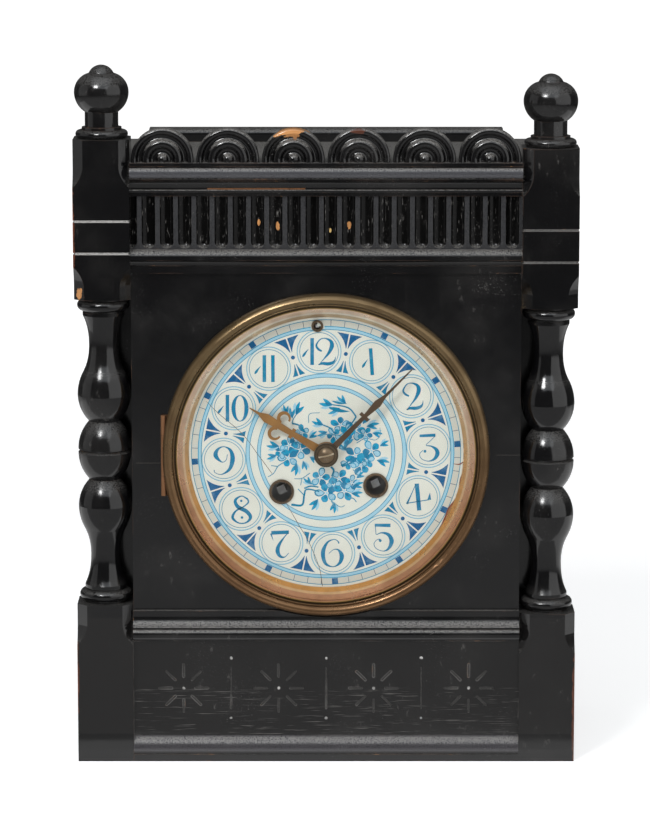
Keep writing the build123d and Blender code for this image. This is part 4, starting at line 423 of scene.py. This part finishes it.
# Hands, their nut and the eyelets of the winding holes: the hands are sawn from sheet brass, the nut and the
# eyelets turned, and all are bronzed brown and rubbed. The nut is screwed on, and a bright line is painted
# along its slot.
for part, finish, bright, toned, rough, metal in (
    ("hour_hand", "hour_bronze", (0.36, 0.175, 0.050), (0.24, 0.115, 0.036), 0.45, 0.3),
    ("minute_hand", "minute_bronze", (0.105, 0.062, 0.034), (0.065, 0.040, 0.024), 0.42, 0.3),
    ("dial_eyelets", "eyelet_bronze", (0.16, 0.105, 0.062), (0.085, 0.060, 0.040), 0.34, 0.5),
):
    dress(aged_brass(finish, bright, toned, rough, metal=metal), part)
nut_light, nut_dark = (0.21, 0.148, 0.092), (0.085, 0.062, 0.040)
# Painted highlight: the outer ring of the nut is light at the top and dark at the foot.
nut_bands = [
    (0.0, nut_light, nut_light), (3.5, nut_dark, nut_dark), (3.9, nut_light, nut_dark),
    (4.7, nut_dark, nut_dark),
]
nut_slot = (radians(14), 0.30, 3.4, (0.80, 0.68, 0.52))
dress(turned_bands("nut_bronze", nut_bands, 0.26, 0.6, nut_slot), "hand_nut")

# Dial: a flat disc of glazed ware, cream, painted in several blues under the glaze. It lies in the pan,
# turned a little to the left, and its rings and the circles of its chapters were struck with a compass.
dial_face = dial_low[1]
dial_turn = radians(3.9)
navy, steel_blue, teal = (0.010, 0.098, 0.245), (0.011, 0.172, 0.320), (0.004, 0.188, 0.325)
azure, pale, line_blue = (0.007, 0.270, 0.460), (0.31, 0.53, 0.65), (0.075, 0.262, 0.385)
hole_reaches = {"going_winding_arbor": 5.5, "strike_winding_arbor": 5.5, "regulator_arbor": 2.0}


def dial_glaze(name):
    """Cream glaze with a faint cloudiness and a wet gloss."""
    material, tree, shader = new_material(name)
    clouds = noise(tree, 45.0, 4.0)
    colour = blend(tree, ramp(tree, clouds, 0.3, 0.7), (0.685, 0.680, 0.612), (0.632, 0.626, 0.555))
    tree.links.new(colour, shader.inputs["Base Color"])
    tree.links.new(ramp(tree, clouds, 0.3, 0.7, 0.14, 0.22), shader.inputs["Roughness"])
    return material


dress(dial_glaze("dial_glaze"), "dial")


def smooth(rows, steps):
    """Points of the curve that runs through the rows, each stretch a cubic set by its four nearest rows."""
    rows = np.array(rows, float)
    held = np.vstack([2 * rows[0] - rows[1], rows, 2 * rows[-1] - rows[-2]])
    along = np.linspace(0, len(rows) - 1, steps)
    first = np.minimum(along.astype(int), len(rows) - 2)
    part = (along - first)[:, None]
    a, b, c, d = held[first], held[first + 1], held[first + 2], held[first + 3]
    return 0.5 * (
        2 * b + (c - a) * part + (2 * a - 5 * b + 4 * c - d) * part**2 + (3 * b - a - 3 * c + d) * part**3
    )


def brush(rows, steps=22):
    """Brush stroke: a smooth line through (right, up, width) rows, with half its width on each side."""
    path = smooth(rows, steps)
    slope = np.gradient(path[:, :2], axis=0)
    slope /= np.linalg.norm(slope, axis=1, keepdims=True)
    half = np.stack([-slope[:, 1], slope[:, 0]], axis=1) * np.maximum(path[:, 2:3], 0.05) / 2
    return np.stack([path[:, :2] - half, path[:, :2] + half], axis=1)


def band(inner, outer, centre=(0, 0), start=0.0, end=2 * pi, steps=120):
    """Flat ring, or a piece of one, between two radii about a centre; angles grow from the right, upwards."""
    angle = np.linspace(start, end, steps)
    ray = np.stack([np.cos(angle), np.sin(angle)], axis=1)
    return np.stack([ray * inner, ray * outer], axis=1) + np.array(centre)


def dot(centre, radius):
    """Round spot: a square grid drawn out to a disc, each coordinate shortened by the other."""
    side = np.linspace(-1, 1, 7)
    u, v = np.meshgrid(side, side, indexing="ij")
    disc = np.stack([u * np.sqrt(1 - v**2 / 2), v * np.sqrt(1 - u**2 / 2)], axis=2)
    return disc * radius + np.array(centre)


film_depth = 0.08 * mm


def film(name, patches, material, body):
    """One thin painted layer from patches (grid of right and up in millimetres, height over the face,
    colour). Every patch is wound to face the viewer, joined where its first and last rows meet, keeps its
    colour at its points, and reaches a little way into the dial."""
    points, faces, colours, count = [], [], [], 0
    for grid, lift, colour in patches:
        closed = np.allclose(grid[0], grid[-1])
        grid = grid[:-1] if closed else grid
        rows, columns = grid.shape[:2]
        edge_a, edge_b = grid[1, 0] - grid[0, 0], grid[0, 1] - grid[0, 0]
        if edge_a[0] * edge_b[1] - edge_a[1] * edge_b[0] < 0:
            grid = grid[:, ::-1]
        flat = grid.reshape(-1, 2)
        depth = np.full(len(flat), dial_face - lift * mm)
        points.append(np.stack([dial_x + mm * flat[:, 0], depth, dial_z + mm * flat[:, 1]], axis=1))
        index = count + np.arange(rows * columns).reshape(rows, columns)
        index = np.vstack([index, index[:1]]) if closed else index
        quads = np.stack([index[:-1, :-1], index[1:, :-1], index[1:, 1:], index[:-1, 1:]], axis=2)
        quads = quads.reshape(-1, 4)
        centres = flat[quads - count].mean(axis=1)
        for arbor, reach in hole_reaches.items():
            hole = np.mean(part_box(arbor), axis=0)[[0, 2]] - (dial_x, dial_z)
            clear = np.linalg.norm(centres - hole / mm, axis=1) > reach
            quads, centres = quads[clear], centres[clear]
        faces.append(quads)
        colours.append(np.tile((*colour, 1.0), (rows * columns, 1)))
        count += rows * columns
    mesh = bpy.data.meshes.new(name)
    mesh.from_pydata(np.vstack(points).tolist(), [], np.vstack(faces).tolist())
    ink = mesh.color_attributes.new("ink", "FLOAT_COLOR", "POINT")
    ink.data.foreach_set("color", np.vstack(colours).ravel())
    piece = bpy.data.objects.new(name, mesh)
    bpy.context.scene.collection.objects.link(piece)
    mesh.materials.append(material)
    plate = piece.modifiers.new("plate", "SOLIDIFY")
    plate.thickness, plate.offset = film_depth, -1.0
    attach(piece, body)


def under_glaze(name):
    """Painted colour from the points, washed thinner in places as a brush leaves it, under the same gloss."""
    material, tree, shader = new_material(name)
    ink = add(tree, "Attribute", attribute_name="ink").outputs["Color"]
    wash = ramp(tree, noise(tree, 260.0, 3.0), 0.45, 0.80, 0.0, 0.20)
    tree.links.new(blend(tree, wash, ink, (0.35, 0.55, 0.67)), shader.inputs["Base Color"])
    shader.inputs["Roughness"].default_value = 0.17
    return material


painted = under_glaze("under_glaze_blue")
hours = [dial_turn + radians(90 - 30 * hour) for hour in range(1, 13)]
chapter_radius, chapter_out, chapter_in = 45.9, 9.95, 8.75
track_out, track_in, rail_in = 60.2, 57.35, 55.6
middle_bands = ((34.1, 36.0), (29.1, 30.9))
ground_lift, wash_lift, line_lift, block_lift = 0.01, 0.02, 0.03, 0.045
# Painted shade: the ground of the minute track is a darker cream than the glaze, the shade of the bezel.
track_shade_cream, tick_blue = (0.575, 0.558, 0.488), (0.10, 0.13, 0.19)
tick_half, block_half = radians(0.13), 1.4 / track_out
rings = [
    (band(track_in, track_out), ground_lift, track_shade_cream),
    (band(track_out - 0.18, track_out + 0.18), line_lift, line_blue),
    (band(rail_in, track_in), wash_lift, pale),
    (band(track_in - 0.35, track_in), line_lift, azure),
    (band(rail_in, rail_in + 0.35), line_lift, line_blue),
]
for inner, outer in middle_bands:
    rings.append((band(inner, outer, steps=361), wash_lift, pale))
    rings.append((band(outer - 0.32, outer, steps=361), line_lift, line_blue))
    rings.append((band(inner, inner + 0.32, steps=361), line_lift, line_blue))
for minute in range(60):
    angle = dial_turn + radians(6 * minute)
    tick = band(track_in, track_out, (0, 0), angle - tick_half, angle + tick_half, 2)
    rings.append((tick, line_lift, tick_blue))
for angle in hours:
    block = band(track_in + 0.1, track_out - 0.1, (0, 0), angle - block_half, angle + block_half, 6)
    rings.append((block, block_lift, navy))
    middle = (chapter_radius * cos(angle), chapter_radius * sin(angle))
    rings.append((band(chapter_out - 0.5, chapter_out, middle), wash_lift, pale))
    rings.append((band(chapter_out - 0.18, chapter_out, middle), line_lift, line_blue))
    rings.append((band(chapter_in - 0.3, chapter_in, middle), line_lift, line_blue))
film("dial_rings", rings, painted, "case")

# Spandrels of the chapters: pairs of curved triangles and a dot in each gap between two chapter circles,
# filled in by brush under the same glaze.
gap_half, slit_half, spandrel_steps = radians(15), 0.32, 9
spandrels = []
for angle in hours:
    middle = angle + gap_half
    outward = np.array([cos(middle), sin(middle)])
    sideways = np.array([-sin(middle), cos(middle)])
    spandrels.append((dot(outward * (chapter_radius - 0.3), 0.9), line_lift, navy))
    for low, high, clear, colour in ((48.0, 54.6, 2.0, navy), (37.1, 42.4, 1.55, steel_blue)):
        out = np.linspace(low, high, spandrel_steps)
        rise = out - chapter_radius * cos(gap_half)
        reach = chapter_radius * sin(gap_half) - np.sqrt((chapter_out + clear) ** 2 - rise**2)
        for side in (-1, 1):
            edges_at = side * np.stack([np.full(spandrel_steps, slit_half), reach], axis=1)
            grid = outward * out[:, None, None] + sideways * edges_at[:, :, None]
            spandrels.append((grid, line_lift, colour))
film("dial_spandrels", spandrels, painted, "case")

# Numerals: upright figures with thick sides and hair joins, brushed by hand, each in its own circle. A
# figure is its lean in degrees and its strokes, as rows of (right, up, width) in millimetres.
bar_flag = [(-1.6, 1.2, 0.15), (-2.6, 0.0, 0.6), (-3.7, -1.5, 1.1), (-4.3, -2.4, 0.3)]
two = [(-1.1, 0.2, 0.7), (-2.7, 1.2, 1.0), (-3.5, 3.0, 0.8), (-1.8, 5.5, 0.5), (0.4, 6.0, 0.5),
       (2.8, 4.8, 1.3), (3.4, 2.6, 1.9), (2.0, -0.6, 1.2), (-0.6, -3.8, 0.4), (-2.4, -5.9, 0.3)]
two_foot = [(-2.6, -5.9, 0.4), (-0.8, -5.3, 1.2), (1.6, -5.5, 1.5), (3.6, -5.0, 1.3), (4.7, -3.8, 0.6),
            (5.0, -2.2, 0.15)]
figures = {
    1: (4, [[(0, 6.1, 1.6), (0, -6.0, 1.6)], bar_flag]),
    2: (4, [two, two_foot]),
    3: (2, [
        [(-3.9, 4.7, 1.2), (3.2, 4.8, 1.4)],
        [(3.2, 4.5, 0.3), (1.0, 2.4, 0.3), (-1.1, 0.4, 0.3), (1.3, -0.2, 0.7), (3.4, -1.8, 1.6),
         (3.8, -3.8, 1.9), (2.4, -6.0, 1.2), (-0.3, -6.9, 0.4), (-3.2, -5.8, 0.3), (-4.1, -3.6, 0.3),
         (-2.6, -1.9, 0.3)],
    ]),
    4: (4, [
        [(-0.2, 6.2, 1.9), (0.1, -6.1, 1.9)],
        [(-0.6, 6.1, 0.3), (-2.8, 1.8, 0.4), (-5.2, -2.7, 0.9)],
        [(-5.5, -2.5, 0.4), (4.8, -1.5, 0.4)],
        [(5.4, 1.5, 0.15), (4.9, -1.5, 1.7)],
    ]),
    5: (0, [
        [(-3.8, 5.1, 1.3), (3.3, 5.0, 1.6)],
        [(-3.5, 4.8, 0.3), (-3.2, 0.9, 0.3)],
        [(-3.1, 0.7, 0.3), (-0.6, 1.6, 0.6), (2.4, 0.7, 1.5), (3.8, -2.2, 2.0), (2.6, -5.4, 1.2),
         (0.2, -6.8, 0.4), (-3.0, -5.7, 0.3), (-4.1, -3.5, 0.3), (-2.8, -1.6, 0.3), (-1.3, -1.3, 0.4)],
    ]),
    6: (0, [
        [(2.7, 4.4, 0.7), (1.9, 5.7, 0.4), (0.2, 6.2, 0.4), (-2.6, 4.8, 0.9), (-4.5, 0.4, 1.9),
         (-3.5, -4.6, 1.4), (0.0, -6.3, 0.4), (3.0, -4.5, 1.3), (3.9, -1.2, 2.0), (2.4, 1.4, 0.8),
         (0.3, 1.6, 0.3), (-1.9, -0.2, 0.3)],
    ]),
    7: (0, [
        [(-4.4, 4.7, 1.7), (3.5, 5.0, 1.6)],
        [(-4.6, 4.4, 0.8), (-3.5, 1.2, 0.12)],
        [(3.2, 4.8, 0.3), (1.2, 2.4, 0.6), (-0.9, -0.8, 1.4), (-1.6, -3.6, 1.9), (-0.5, -6.0, 1.3),
         (1.6, -6.4, 0.5), (3.4, -4.6, 0.25)],
    ]),
    8: (0, [
        [(3.0, 4.5, 0.8), (0.2, 5.9, 0.5), (-2.6, 3.9, 1.3), (-1.4, 1.0, 1.7), (2.4, -1.1, 1.8),
         (4.2, -3.8, 1.5), (2.3, -6.2, 0.7), (-1.1, -6.4, 0.6), (-3.8, -4.0, 1.2), (-2.4, -1.0, 0.8),
         (0.9, 0.9, 0.5), (3.2, 2.9, 0.7), (3.0, 4.5, 0.8)],
    ]),
    9: (0, [
        [(1.7, 2.4, 0.3), (1.0, -0.3, 0.3), (-1.0, -1.0, 0.5), (-3.6, 1.9, 2.0), (-2.5, 4.8, 1.1),
         (0.2, 5.9, 0.4), (3.0, 4.3, 1.3), (4.0, 0.4, 2.1), (2.6, -4.3, 1.4), (-1.0, -6.7, 0.4),
         (-3.9, -5.9, 0.3), (-4.3, -4.7, 0.5)],
    ]),
}
spots = {3: [(-1.6, -2.4, 0.65)], 5: [(-1.3, -2.0, 0.65)], 8: [(0.1, 3.7, 0.55), (0.4, -3.9, 0.6)]}
numerals = []


def write(strokes, centre, lean, shift, colour):
    """Strokes of one figure, leaned and moved to its place."""
    turn = radians(lean)
    for rows in strokes:
        rows = np.array(rows, float)
        right, up = rows[:, 0] + shift[0], rows[:, 1] + shift[1]
        leaned = (right * cos(turn) - up * sin(turn), right * sin(turn) + up * cos(turn), rows[:, 2])
        stroke = brush(np.stack(leaned, axis=1), 6 * len(rows))
        numerals.append((stroke + np.array(centre), line_lift, colour))


one = figures[1][1]
for hour, angle in enumerate(hours, 1):
    middle = np.array([cos(angle), sin(angle)]) * chapter_radius
    colour = teal if hour in (1, 11) else steel_blue
    if hour < 10:
        lean, strokes = figures[hour]
        write(strokes, middle, lean, (0, 0), colour)
        for right, up, radius in spots.get(hour, []):
            numerals.append((dot(middle + (right, up), radius), line_lift, colour))
    if hour == 10:
        write(one, middle, 0, (-2.8, 0), colour)
        turn = np.linspace(0, 2 * pi, 40)
        swell = 0.35 + 1.5 * np.abs(np.cos(turn)) ** 1.5
        oval = np.stack([2.9 * np.cos(turn), 5.8 * np.sin(turn), swell], axis=1)
        numerals.append((brush(oval + np.array([2.8, 0, 0]), 48) + middle, line_lift, colour))
    if hour == 11:
        write(one, middle, 0, (-1.9, 0), colour)
        write(one[:1], middle, 0, (1.9, 0), colour)
    if hour == 12:
        write(one, middle, 0, (-3.1, 0), colour)
        write([two, two_foot], middle, 0, (2.3, 0), colour)
film("dial_numerals", numerals, painted, "case")

# Sprigs in the middle of the dial: round-petalled flowers, buds, leaves and stems, dabbed on by brush in
# loose sprays. Some petals are filled with blue, and the others are pale with a blue outline.
sprigs = []


def petal(root, angle, length, width, roundness):
    """Petal or leaf: a stroke whose width is the sine of its length to a power, rounder for a lower one."""
    share = np.linspace(0, 1, 9)
    wide = width * np.sin(pi * share**1.25) ** roundness
    bend = 0.06 * length * np.sin(pi * share)
    right = root[0] + length * share * cos(angle) - bend * sin(angle)
    up = root[1] + length * share * sin(angle) + bend * cos(angle)
    return brush(np.stack([right, up, wide], axis=1), 17)


def dab(grid, tone):
    """Add one dab of colour, a hair higher than the one before it."""
    sprigs.append((grid, 0.012 + 0.0002 * len(sprigs), tone))


def flower(right, up, size, turn):
    """Five uneven petals about a pale eye: two are pale inside their outline, the others deep at the root."""
    for leaf, tone in enumerate((azure, teal, azure, azure, steel_blue)):
        angle = turn + 2 * pi * leaf / 5
        ray = np.array([cos(angle), sin(angle)])
        root = np.array([right, up]) + 0.16 * size * ray
        reach = size * (1 + 0.16 * sin(2.4 * leaf + 3 * turn))
        dab(petal(root, angle, 0.95 * reach, 0.74 * size, 0.6), tone)
        if leaf in (1, 3):
            dab(petal(root + 0.1 * size * ray, angle, 0.74 * reach, 0.54 * size, 0.6), pale)
        else:
            dab(petal(root, angle + 0.16, 0.55 * reach, 0.26 * size, 0.9), steel_blue)
    dab(dot((right, up), 0.13 * size), pale)


def bud(right, up, heading, length):
    """Half-open bud: three narrow petals and a short deep stroke from one root, spread like a fan."""
    for spread, reach, tone in ((-24, 1.0, azure), (22, 1.1, pale), (2, 1.2, azure), (-6, 0.7, steel_blue)):
        dab(petal((right, up), radians(heading + spread), reach * length, 0.28 * length, 0.9), tone)


blossoms = [
    (-2.6, -11.3, 4.0), (5.8, -11.7, 4.0), (0.2, -18.3, 4.4), (8.1, -17.4, 4.3), (13.0, -1.3, 4.1),
    (20.3, 0.9, 4.2), (15.6, -5.7, 4.1), (-16.5, 3.4, 4.1), (-11.4, 1.4, 4.2), (-16.9, -2.4, 4.0),
    (6.4, 12.6, 3.8), (13.0, 10.4, 4.2), (3.4, 8.0, 3.2), (-10.8, 9.2, 3.2), (9.4, 9.4, 3.4),
    (17.6, 8.4, 3.0), (10.4, -4.6, 3.2), (18.2, -3.4, 3.2), (-20.2, 0.6, 3.0), (-13.4, 5.8, 3.2),
    (3.4, -15.0, 3.4), (11.4, -13.6, 3.2),
]
for number, (right, up, size) in enumerate(blossoms):
    flower(right, up, size, 0.9 * number)
buds = [
    (18.0, 12.0, 10, 5.0), (22.6, -3.4, -12, 5.0), (-1.0, 12.6, 160, 4.8), (3.2, 21.8, 172, 5.4),
    (6.2, 20.4, 205, 5.0), (-13.4, 17.0, 72, 5.4), (-15.0, 15.6, 100, 4.4), (-20.8, 3.0, 176, 5.0),
    (-13.2, -4.6, 262, 5.0), (-10.4, -3.6, 290, 4.0), (-3.6, -21.0, 238, 5.0), (11.6, -15.4, 18, 4.6),
    (11.2, -18.6, 2, 4.4), (8.2, 2.4, 68, 5.6), (16.4, 13.0, 60, 4.2), (20.6, 9.0, -8, 4.0),
    (0.6, 9.6, 200, 4.2), (24.0, 3.0, 30, 4.0), (9.4, 0.8, 130, 3.8), (-22.0, -1.0, 200, 4.2),
    (-7.6, 6.6, 40, 4.0), (-7.4, -1.8, 330, 3.6), (-6.4, -14.4, 140, 4.0), (3.6, -22.4, 268, 4.4),
    (13.6, -11.6, 40, 3.8), (9.0, 22.4, 140, 4.4), (-17.2, 17.4, 110, 4.0),
]
for right, up, heading, length in buds:
    bud(right, up, heading, length)
stems = [
    (0.60, [(13.4, 16.4), (11.0, 19.6), (8.2, 21.0), (3.0, 21.8)]),
    (0.55, [(13.4, 16.4), (11.6, 13.6), (9.4, 11.0)]), (0.50, [(-1.2, 12.6), (1.8, 11.2), (4.0, 8.6)]),
    (0.40, [(4.4, 8.2), (-0.6, 8.4), (-2.8, 7.4)]), (0.60, [(-15.2, 13.4), (-12.0, 12.4), (-11.2, 10.0)]),
    (0.45, [(-15.2, 13.4), (-14.6, 15.4), (-13.4, 17.2)]),
    (0.28, [(-7.8, 13.6), (-7.4, 17.6), (-2.8, 18.2)]),
    (0.32, [(13.6, 4.4), (17.6, 6.6), (22.0, 5.8), (24.2, 8.2), (24.0, 11.4)]),
    (0.65, [(7.0, -6.2), (9.4, -5.4), (11.8, -4.2)]), (0.32, [(12.0, -7.6), (13.6, -9.4), (15.2, -11.4)]),
    (0.75, [(2.2, -6.4), (3.4, -8.0), (2.6, -10.8)]),
    (0.38, [(-19.0, -4.4), (-21.6, -6.2), (-23.4, -9.2), (-26.0, -11.0)]),
    (0.32, [(-21.6, -6.2), (-24.6, -5.8)]), (0.32, [(-7.2, -9.2), (-10.8, -11.6), (-14.2, -11.8)]),
    (0.28, [(-10.8, -11.6), (-11.4, -14.8)]), (0.38, [(-9.8, -19.4), (-12.6, -16.4)]),
    (0.32, [(2.2, -21.8), (4.0, -24.8)]),
    (0.80, [(-15.6, -23.6), (-10.8, -23.8), (-9.8, -19.4), (-8.6, -16.6), (-3.0, -17.6)]),
    (0.32, [(2.2, -21.8), (6.2, -24.6), (8.4, -24.0)]), (0.42, [(9.8, -20.4), (12.2, -20.8), (13.6, -22.4)]),
    (0.50, [(5.9, 2.0), (7.2, 5.0), (10.2, 7.2), (10.0, 4.6), (8.2, 1.8), (5.9, 2.0)]),
    (0.60, [(-9.8, -16.2), (-7.0, -15.2), (-3.4, -15.6)]), (0.50, [(6.6, -5.8), (9.0, -4.6), (11.0, -2.6)]),
]
stem_swell, stem_taper, main_stem = 1.25, 0.10, 0.45
for width, route in stems:
    wide = [stem_swell * width * (1 - stem_taper * step) for step in range(len(route))]
    stem = brush(np.column_stack([np.array(route), wide]), 16)
    dab(stem, teal if width > main_stem else line_blue)
leaves = [(10.6, 18.8, 168, 9.6, 1.7), (9.4, 22.4, 170, 7.0, 1.0), (-8.8, 9.0, 132, 5.0, 1.5)]
for right, up, heading, length, width in leaves:
    dab(petal((right, up), radians(heading), length, width, 0.8), teal)
film("dial_sprigs", sprigs, painted, "case")

# Age of the dial: a brown hair crack from the ten to the six that passes under the left winding hole, a short
# crack by the three, and the rim broken away near the four, where the brass behind shows.
crack_brown, rust, bare_brass = (0.12, 0.085, 0.055), (0.22, 0.050, 0.024), (0.36, 0.17, 0.07)
crack_lift, edge_lift, edge_width, dial_rim = 0.06, 0.07, 0.6, 62.2
hair_cracks = [
    [(-53.5, 23.4, 0.14), (-47.7, 17.6, 0.24), (-37.5, 8.7, 0.24), (-30.6, -0.6, 0.26), (-24.2, -9.4, 0.24)],
    [(-17.6, -23.4, 0.24), (-12.2, -33.0, 0.26), (-7.9, -40.4, 0.24), (-3.2, -52.1, 0.24),
     (-1.6, -61.0, 0.26)],
]
damage = [(brush(rows, 40), crack_lift, crack_brown) for rows in hair_cracks]
damage.append((brush([(56.8, -5.0, 0.15), (59.6, -5.2, 0.5), (61.3, -4.2, 0.5)], 12), crack_lift, rust))
broken_edge = [
    (62.4, -6.1), (60.2, -11.8), (59.4, -17.8), (57.5, -21.8), (54.9, -25.2), (53.6, -28.7), (51.9, -32.6),
    (49.6, -37.0),
]
broken = smooth(broken_edge, 40)
span = np.linalg.norm(broken, axis=1, keepdims=True)
rim = broken / span * np.maximum(dial_rim, span + 0.05)
damage.append((np.stack([broken, rim], axis=1), crack_lift, bare_brass))
damage.append((brush(np.hstack([broken, np.full((len(broken), 1), edge_width)]), 40), edge_lift, rust))
film("dial_damage", damage, painted, "case")

# Glass: a thin watch-glass dome, held in the bezel by the sight ring. It is clear enough that only its gloss
# shows, which grows where it is seen aslant.
glass = bpy.data.materials.new("clear_glass")
glass.use_nodes = True
pane = glass.node_tree
pane.nodes.clear()
gloss = add(pane, "BsdfGlossy", {"Color": (1, 1, 1, 1), "Roughness": 0.02})
clear = add(pane, "BsdfTransparent", {"Color": (0.985, 0.99, 0.985, 1)})
slant = add(pane, "LayerWeight", {"Blend": 0.5}).outputs["Facing"]
gloss_share = ramp(pane, sums(pane, "POWER", slant, 4.0), 0.0, 1.0, 0.01, 0.9)
both = add(pane, "MixShader", {0: gloss_share, 1: clear.outputs["BSDF"], 2: gloss.outputs["BSDF"]})
add(pane, "OutputMaterial", {"Surface": both.outputs["Shader"]})
dress(glass, "bezel_glass")

# Floor, light and camera: a white sweep, a small key light from the upper left, a broad white panel on the
# right, a weaker one on the left and a soft cool light above. In the polish, two dimmer cards just over the
# floor are seen in its place.
scene = bpy.context.scene
scene.view_settings.view_transform = "Standard"


def card(name, low, high, level, near_glow, far_glow, paper):
    """A level card of paper between two corners, whose glow changes from half a metre to a metre and a half
    from the clock."""
    mesh = bpy.data.meshes.new(name)
    (left, front), (right, back) = low, high
    corners = [(left, front, level), (right, front, level), (right, back, level), (left, back, level)]
    mesh.from_pydata(corners, [], [(0, 1, 2, 3)])
    made = bpy.data.objects.new(name, mesh)
    scene.collection.objects.link(made)
    material, tree, shader = new_material(name)
    distance = add(tree, "VectorMath", {0: from_point(tree, (0, 0, 0))}, operation="LENGTH").outputs["Value"]
    tree.links.new(ramp(tree, distance, 0.5, 1.5, near_glow, far_glow), shader.inputs["Emission Strength"])
    shader.inputs["Emission Color"].default_value = (1, 1, 1, 1)
    shader.inputs["Base Color"].default_value = (paper, paper, paper, 1)
    shader.inputs["Roughness"].default_value = 0.9
    shader.inputs["Specular IOR Level"].default_value = 0.0
    mesh.materials.append(material)
    return made


floor = card("floor", (-12, -12), (12, 12), 0.0, 0.64, 1.0, 0.8)
floor.visible_glossy = False
near_sweep = card("near_sweep", (-1.5, -1.6), (1.5, 1.6), 0.2 * mm, 0.36, 0.03, 0.0)
foot_sweep = card("foot_sweep", (-0.6, -0.088), (0.6, 0.3), 0.3 * mm, 0.85, 0.85, 0.0)
for sweep in (near_sweep, foot_sweep):
    sweep.visible_camera = sweep.visible_diffuse = sweep.visible_shadow = False


def soft_light(name, place, target, size, watts, tint=(1, 1, 1)):
    """Area light at a place, turned to a target; it is seen in the polish and not by the camera."""
    lamp = bpy.data.lights.new(name, "AREA")
    lamp.shape = "RECTANGLE"
    lamp.size, lamp.size_y = size
    lamp.energy = watts
    lamp.color = tint
    holder = bpy.data.objects.new(name, lamp)
    scene.collection.objects.link(holder)
    holder.location = place
    direction = np.array(target) - np.array(place)
    rise = float(np.arctan2(-direction[2], np.hypot(direction[0], direction[1])))
    holder.rotation_euler = (pi / 2 - rise, 0, float(np.arctan2(-direction[0], direction[1])))
    holder.visible_camera = False
    return holder


soft_light("key_light", (-0.65, -1.31, 1.37), (0, 0, 0.15), (0.42, 0.42), 15)
soft_light("right_panel", (1.05, -0.76, 0.6), (0, 0, 0.3), (1.8, 1.5), 7)
soft_light("left_panel", (-1.4, -0.2, 0.5), (0, 0, 0.3), (1.2, 1.2), 1.5)
soft_light("top_light", (0.0, -0.9, 1.9), (0, -0.2, 0.1), (2.2, 2.8), 21, (0.90, 0.95, 1.0))
front_fill = soft_light("front_fill", (0.0, -2.0, 0.75), (0, 0, 0.14), (0.6, 0.6), 1.2)
front_fill.visible_glossy = False
world = bpy.data.worlds.new("studio")
scene.world = world
world.use_nodes = True
around = world.node_tree
around.nodes.clear()
seen = add(around, "LightPath").outputs["Is Camera Ray"]
dim = add(around, "Background", {"Color": (1, 1, 1, 1), "Strength": 0.06}).outputs["Background"]
white = add(around, "Background", {"Color": (1, 1, 1, 1), "Strength": 1.0}).outputs["Background"]
either = add(around, "MixShader", {0: seen, 1: dim, 2: white})
add(around, "OutputWorld", {"Surface": either.outputs["Shader"]})

camera_data = bpy.data.cameras.new("camera")
camera_data.sensor_width = 36.0
camera_data.lens = 170.97
camera_data.clip_end = 100.0
camera = bpy.data.objects.new("camera", camera_data)
scene.collection.objects.link(camera)
camera.location = (-0.0005, -1.75846, 0.46089)
camera.rotation_euler = (radians(80), 0, 0)
scene.camera = camera
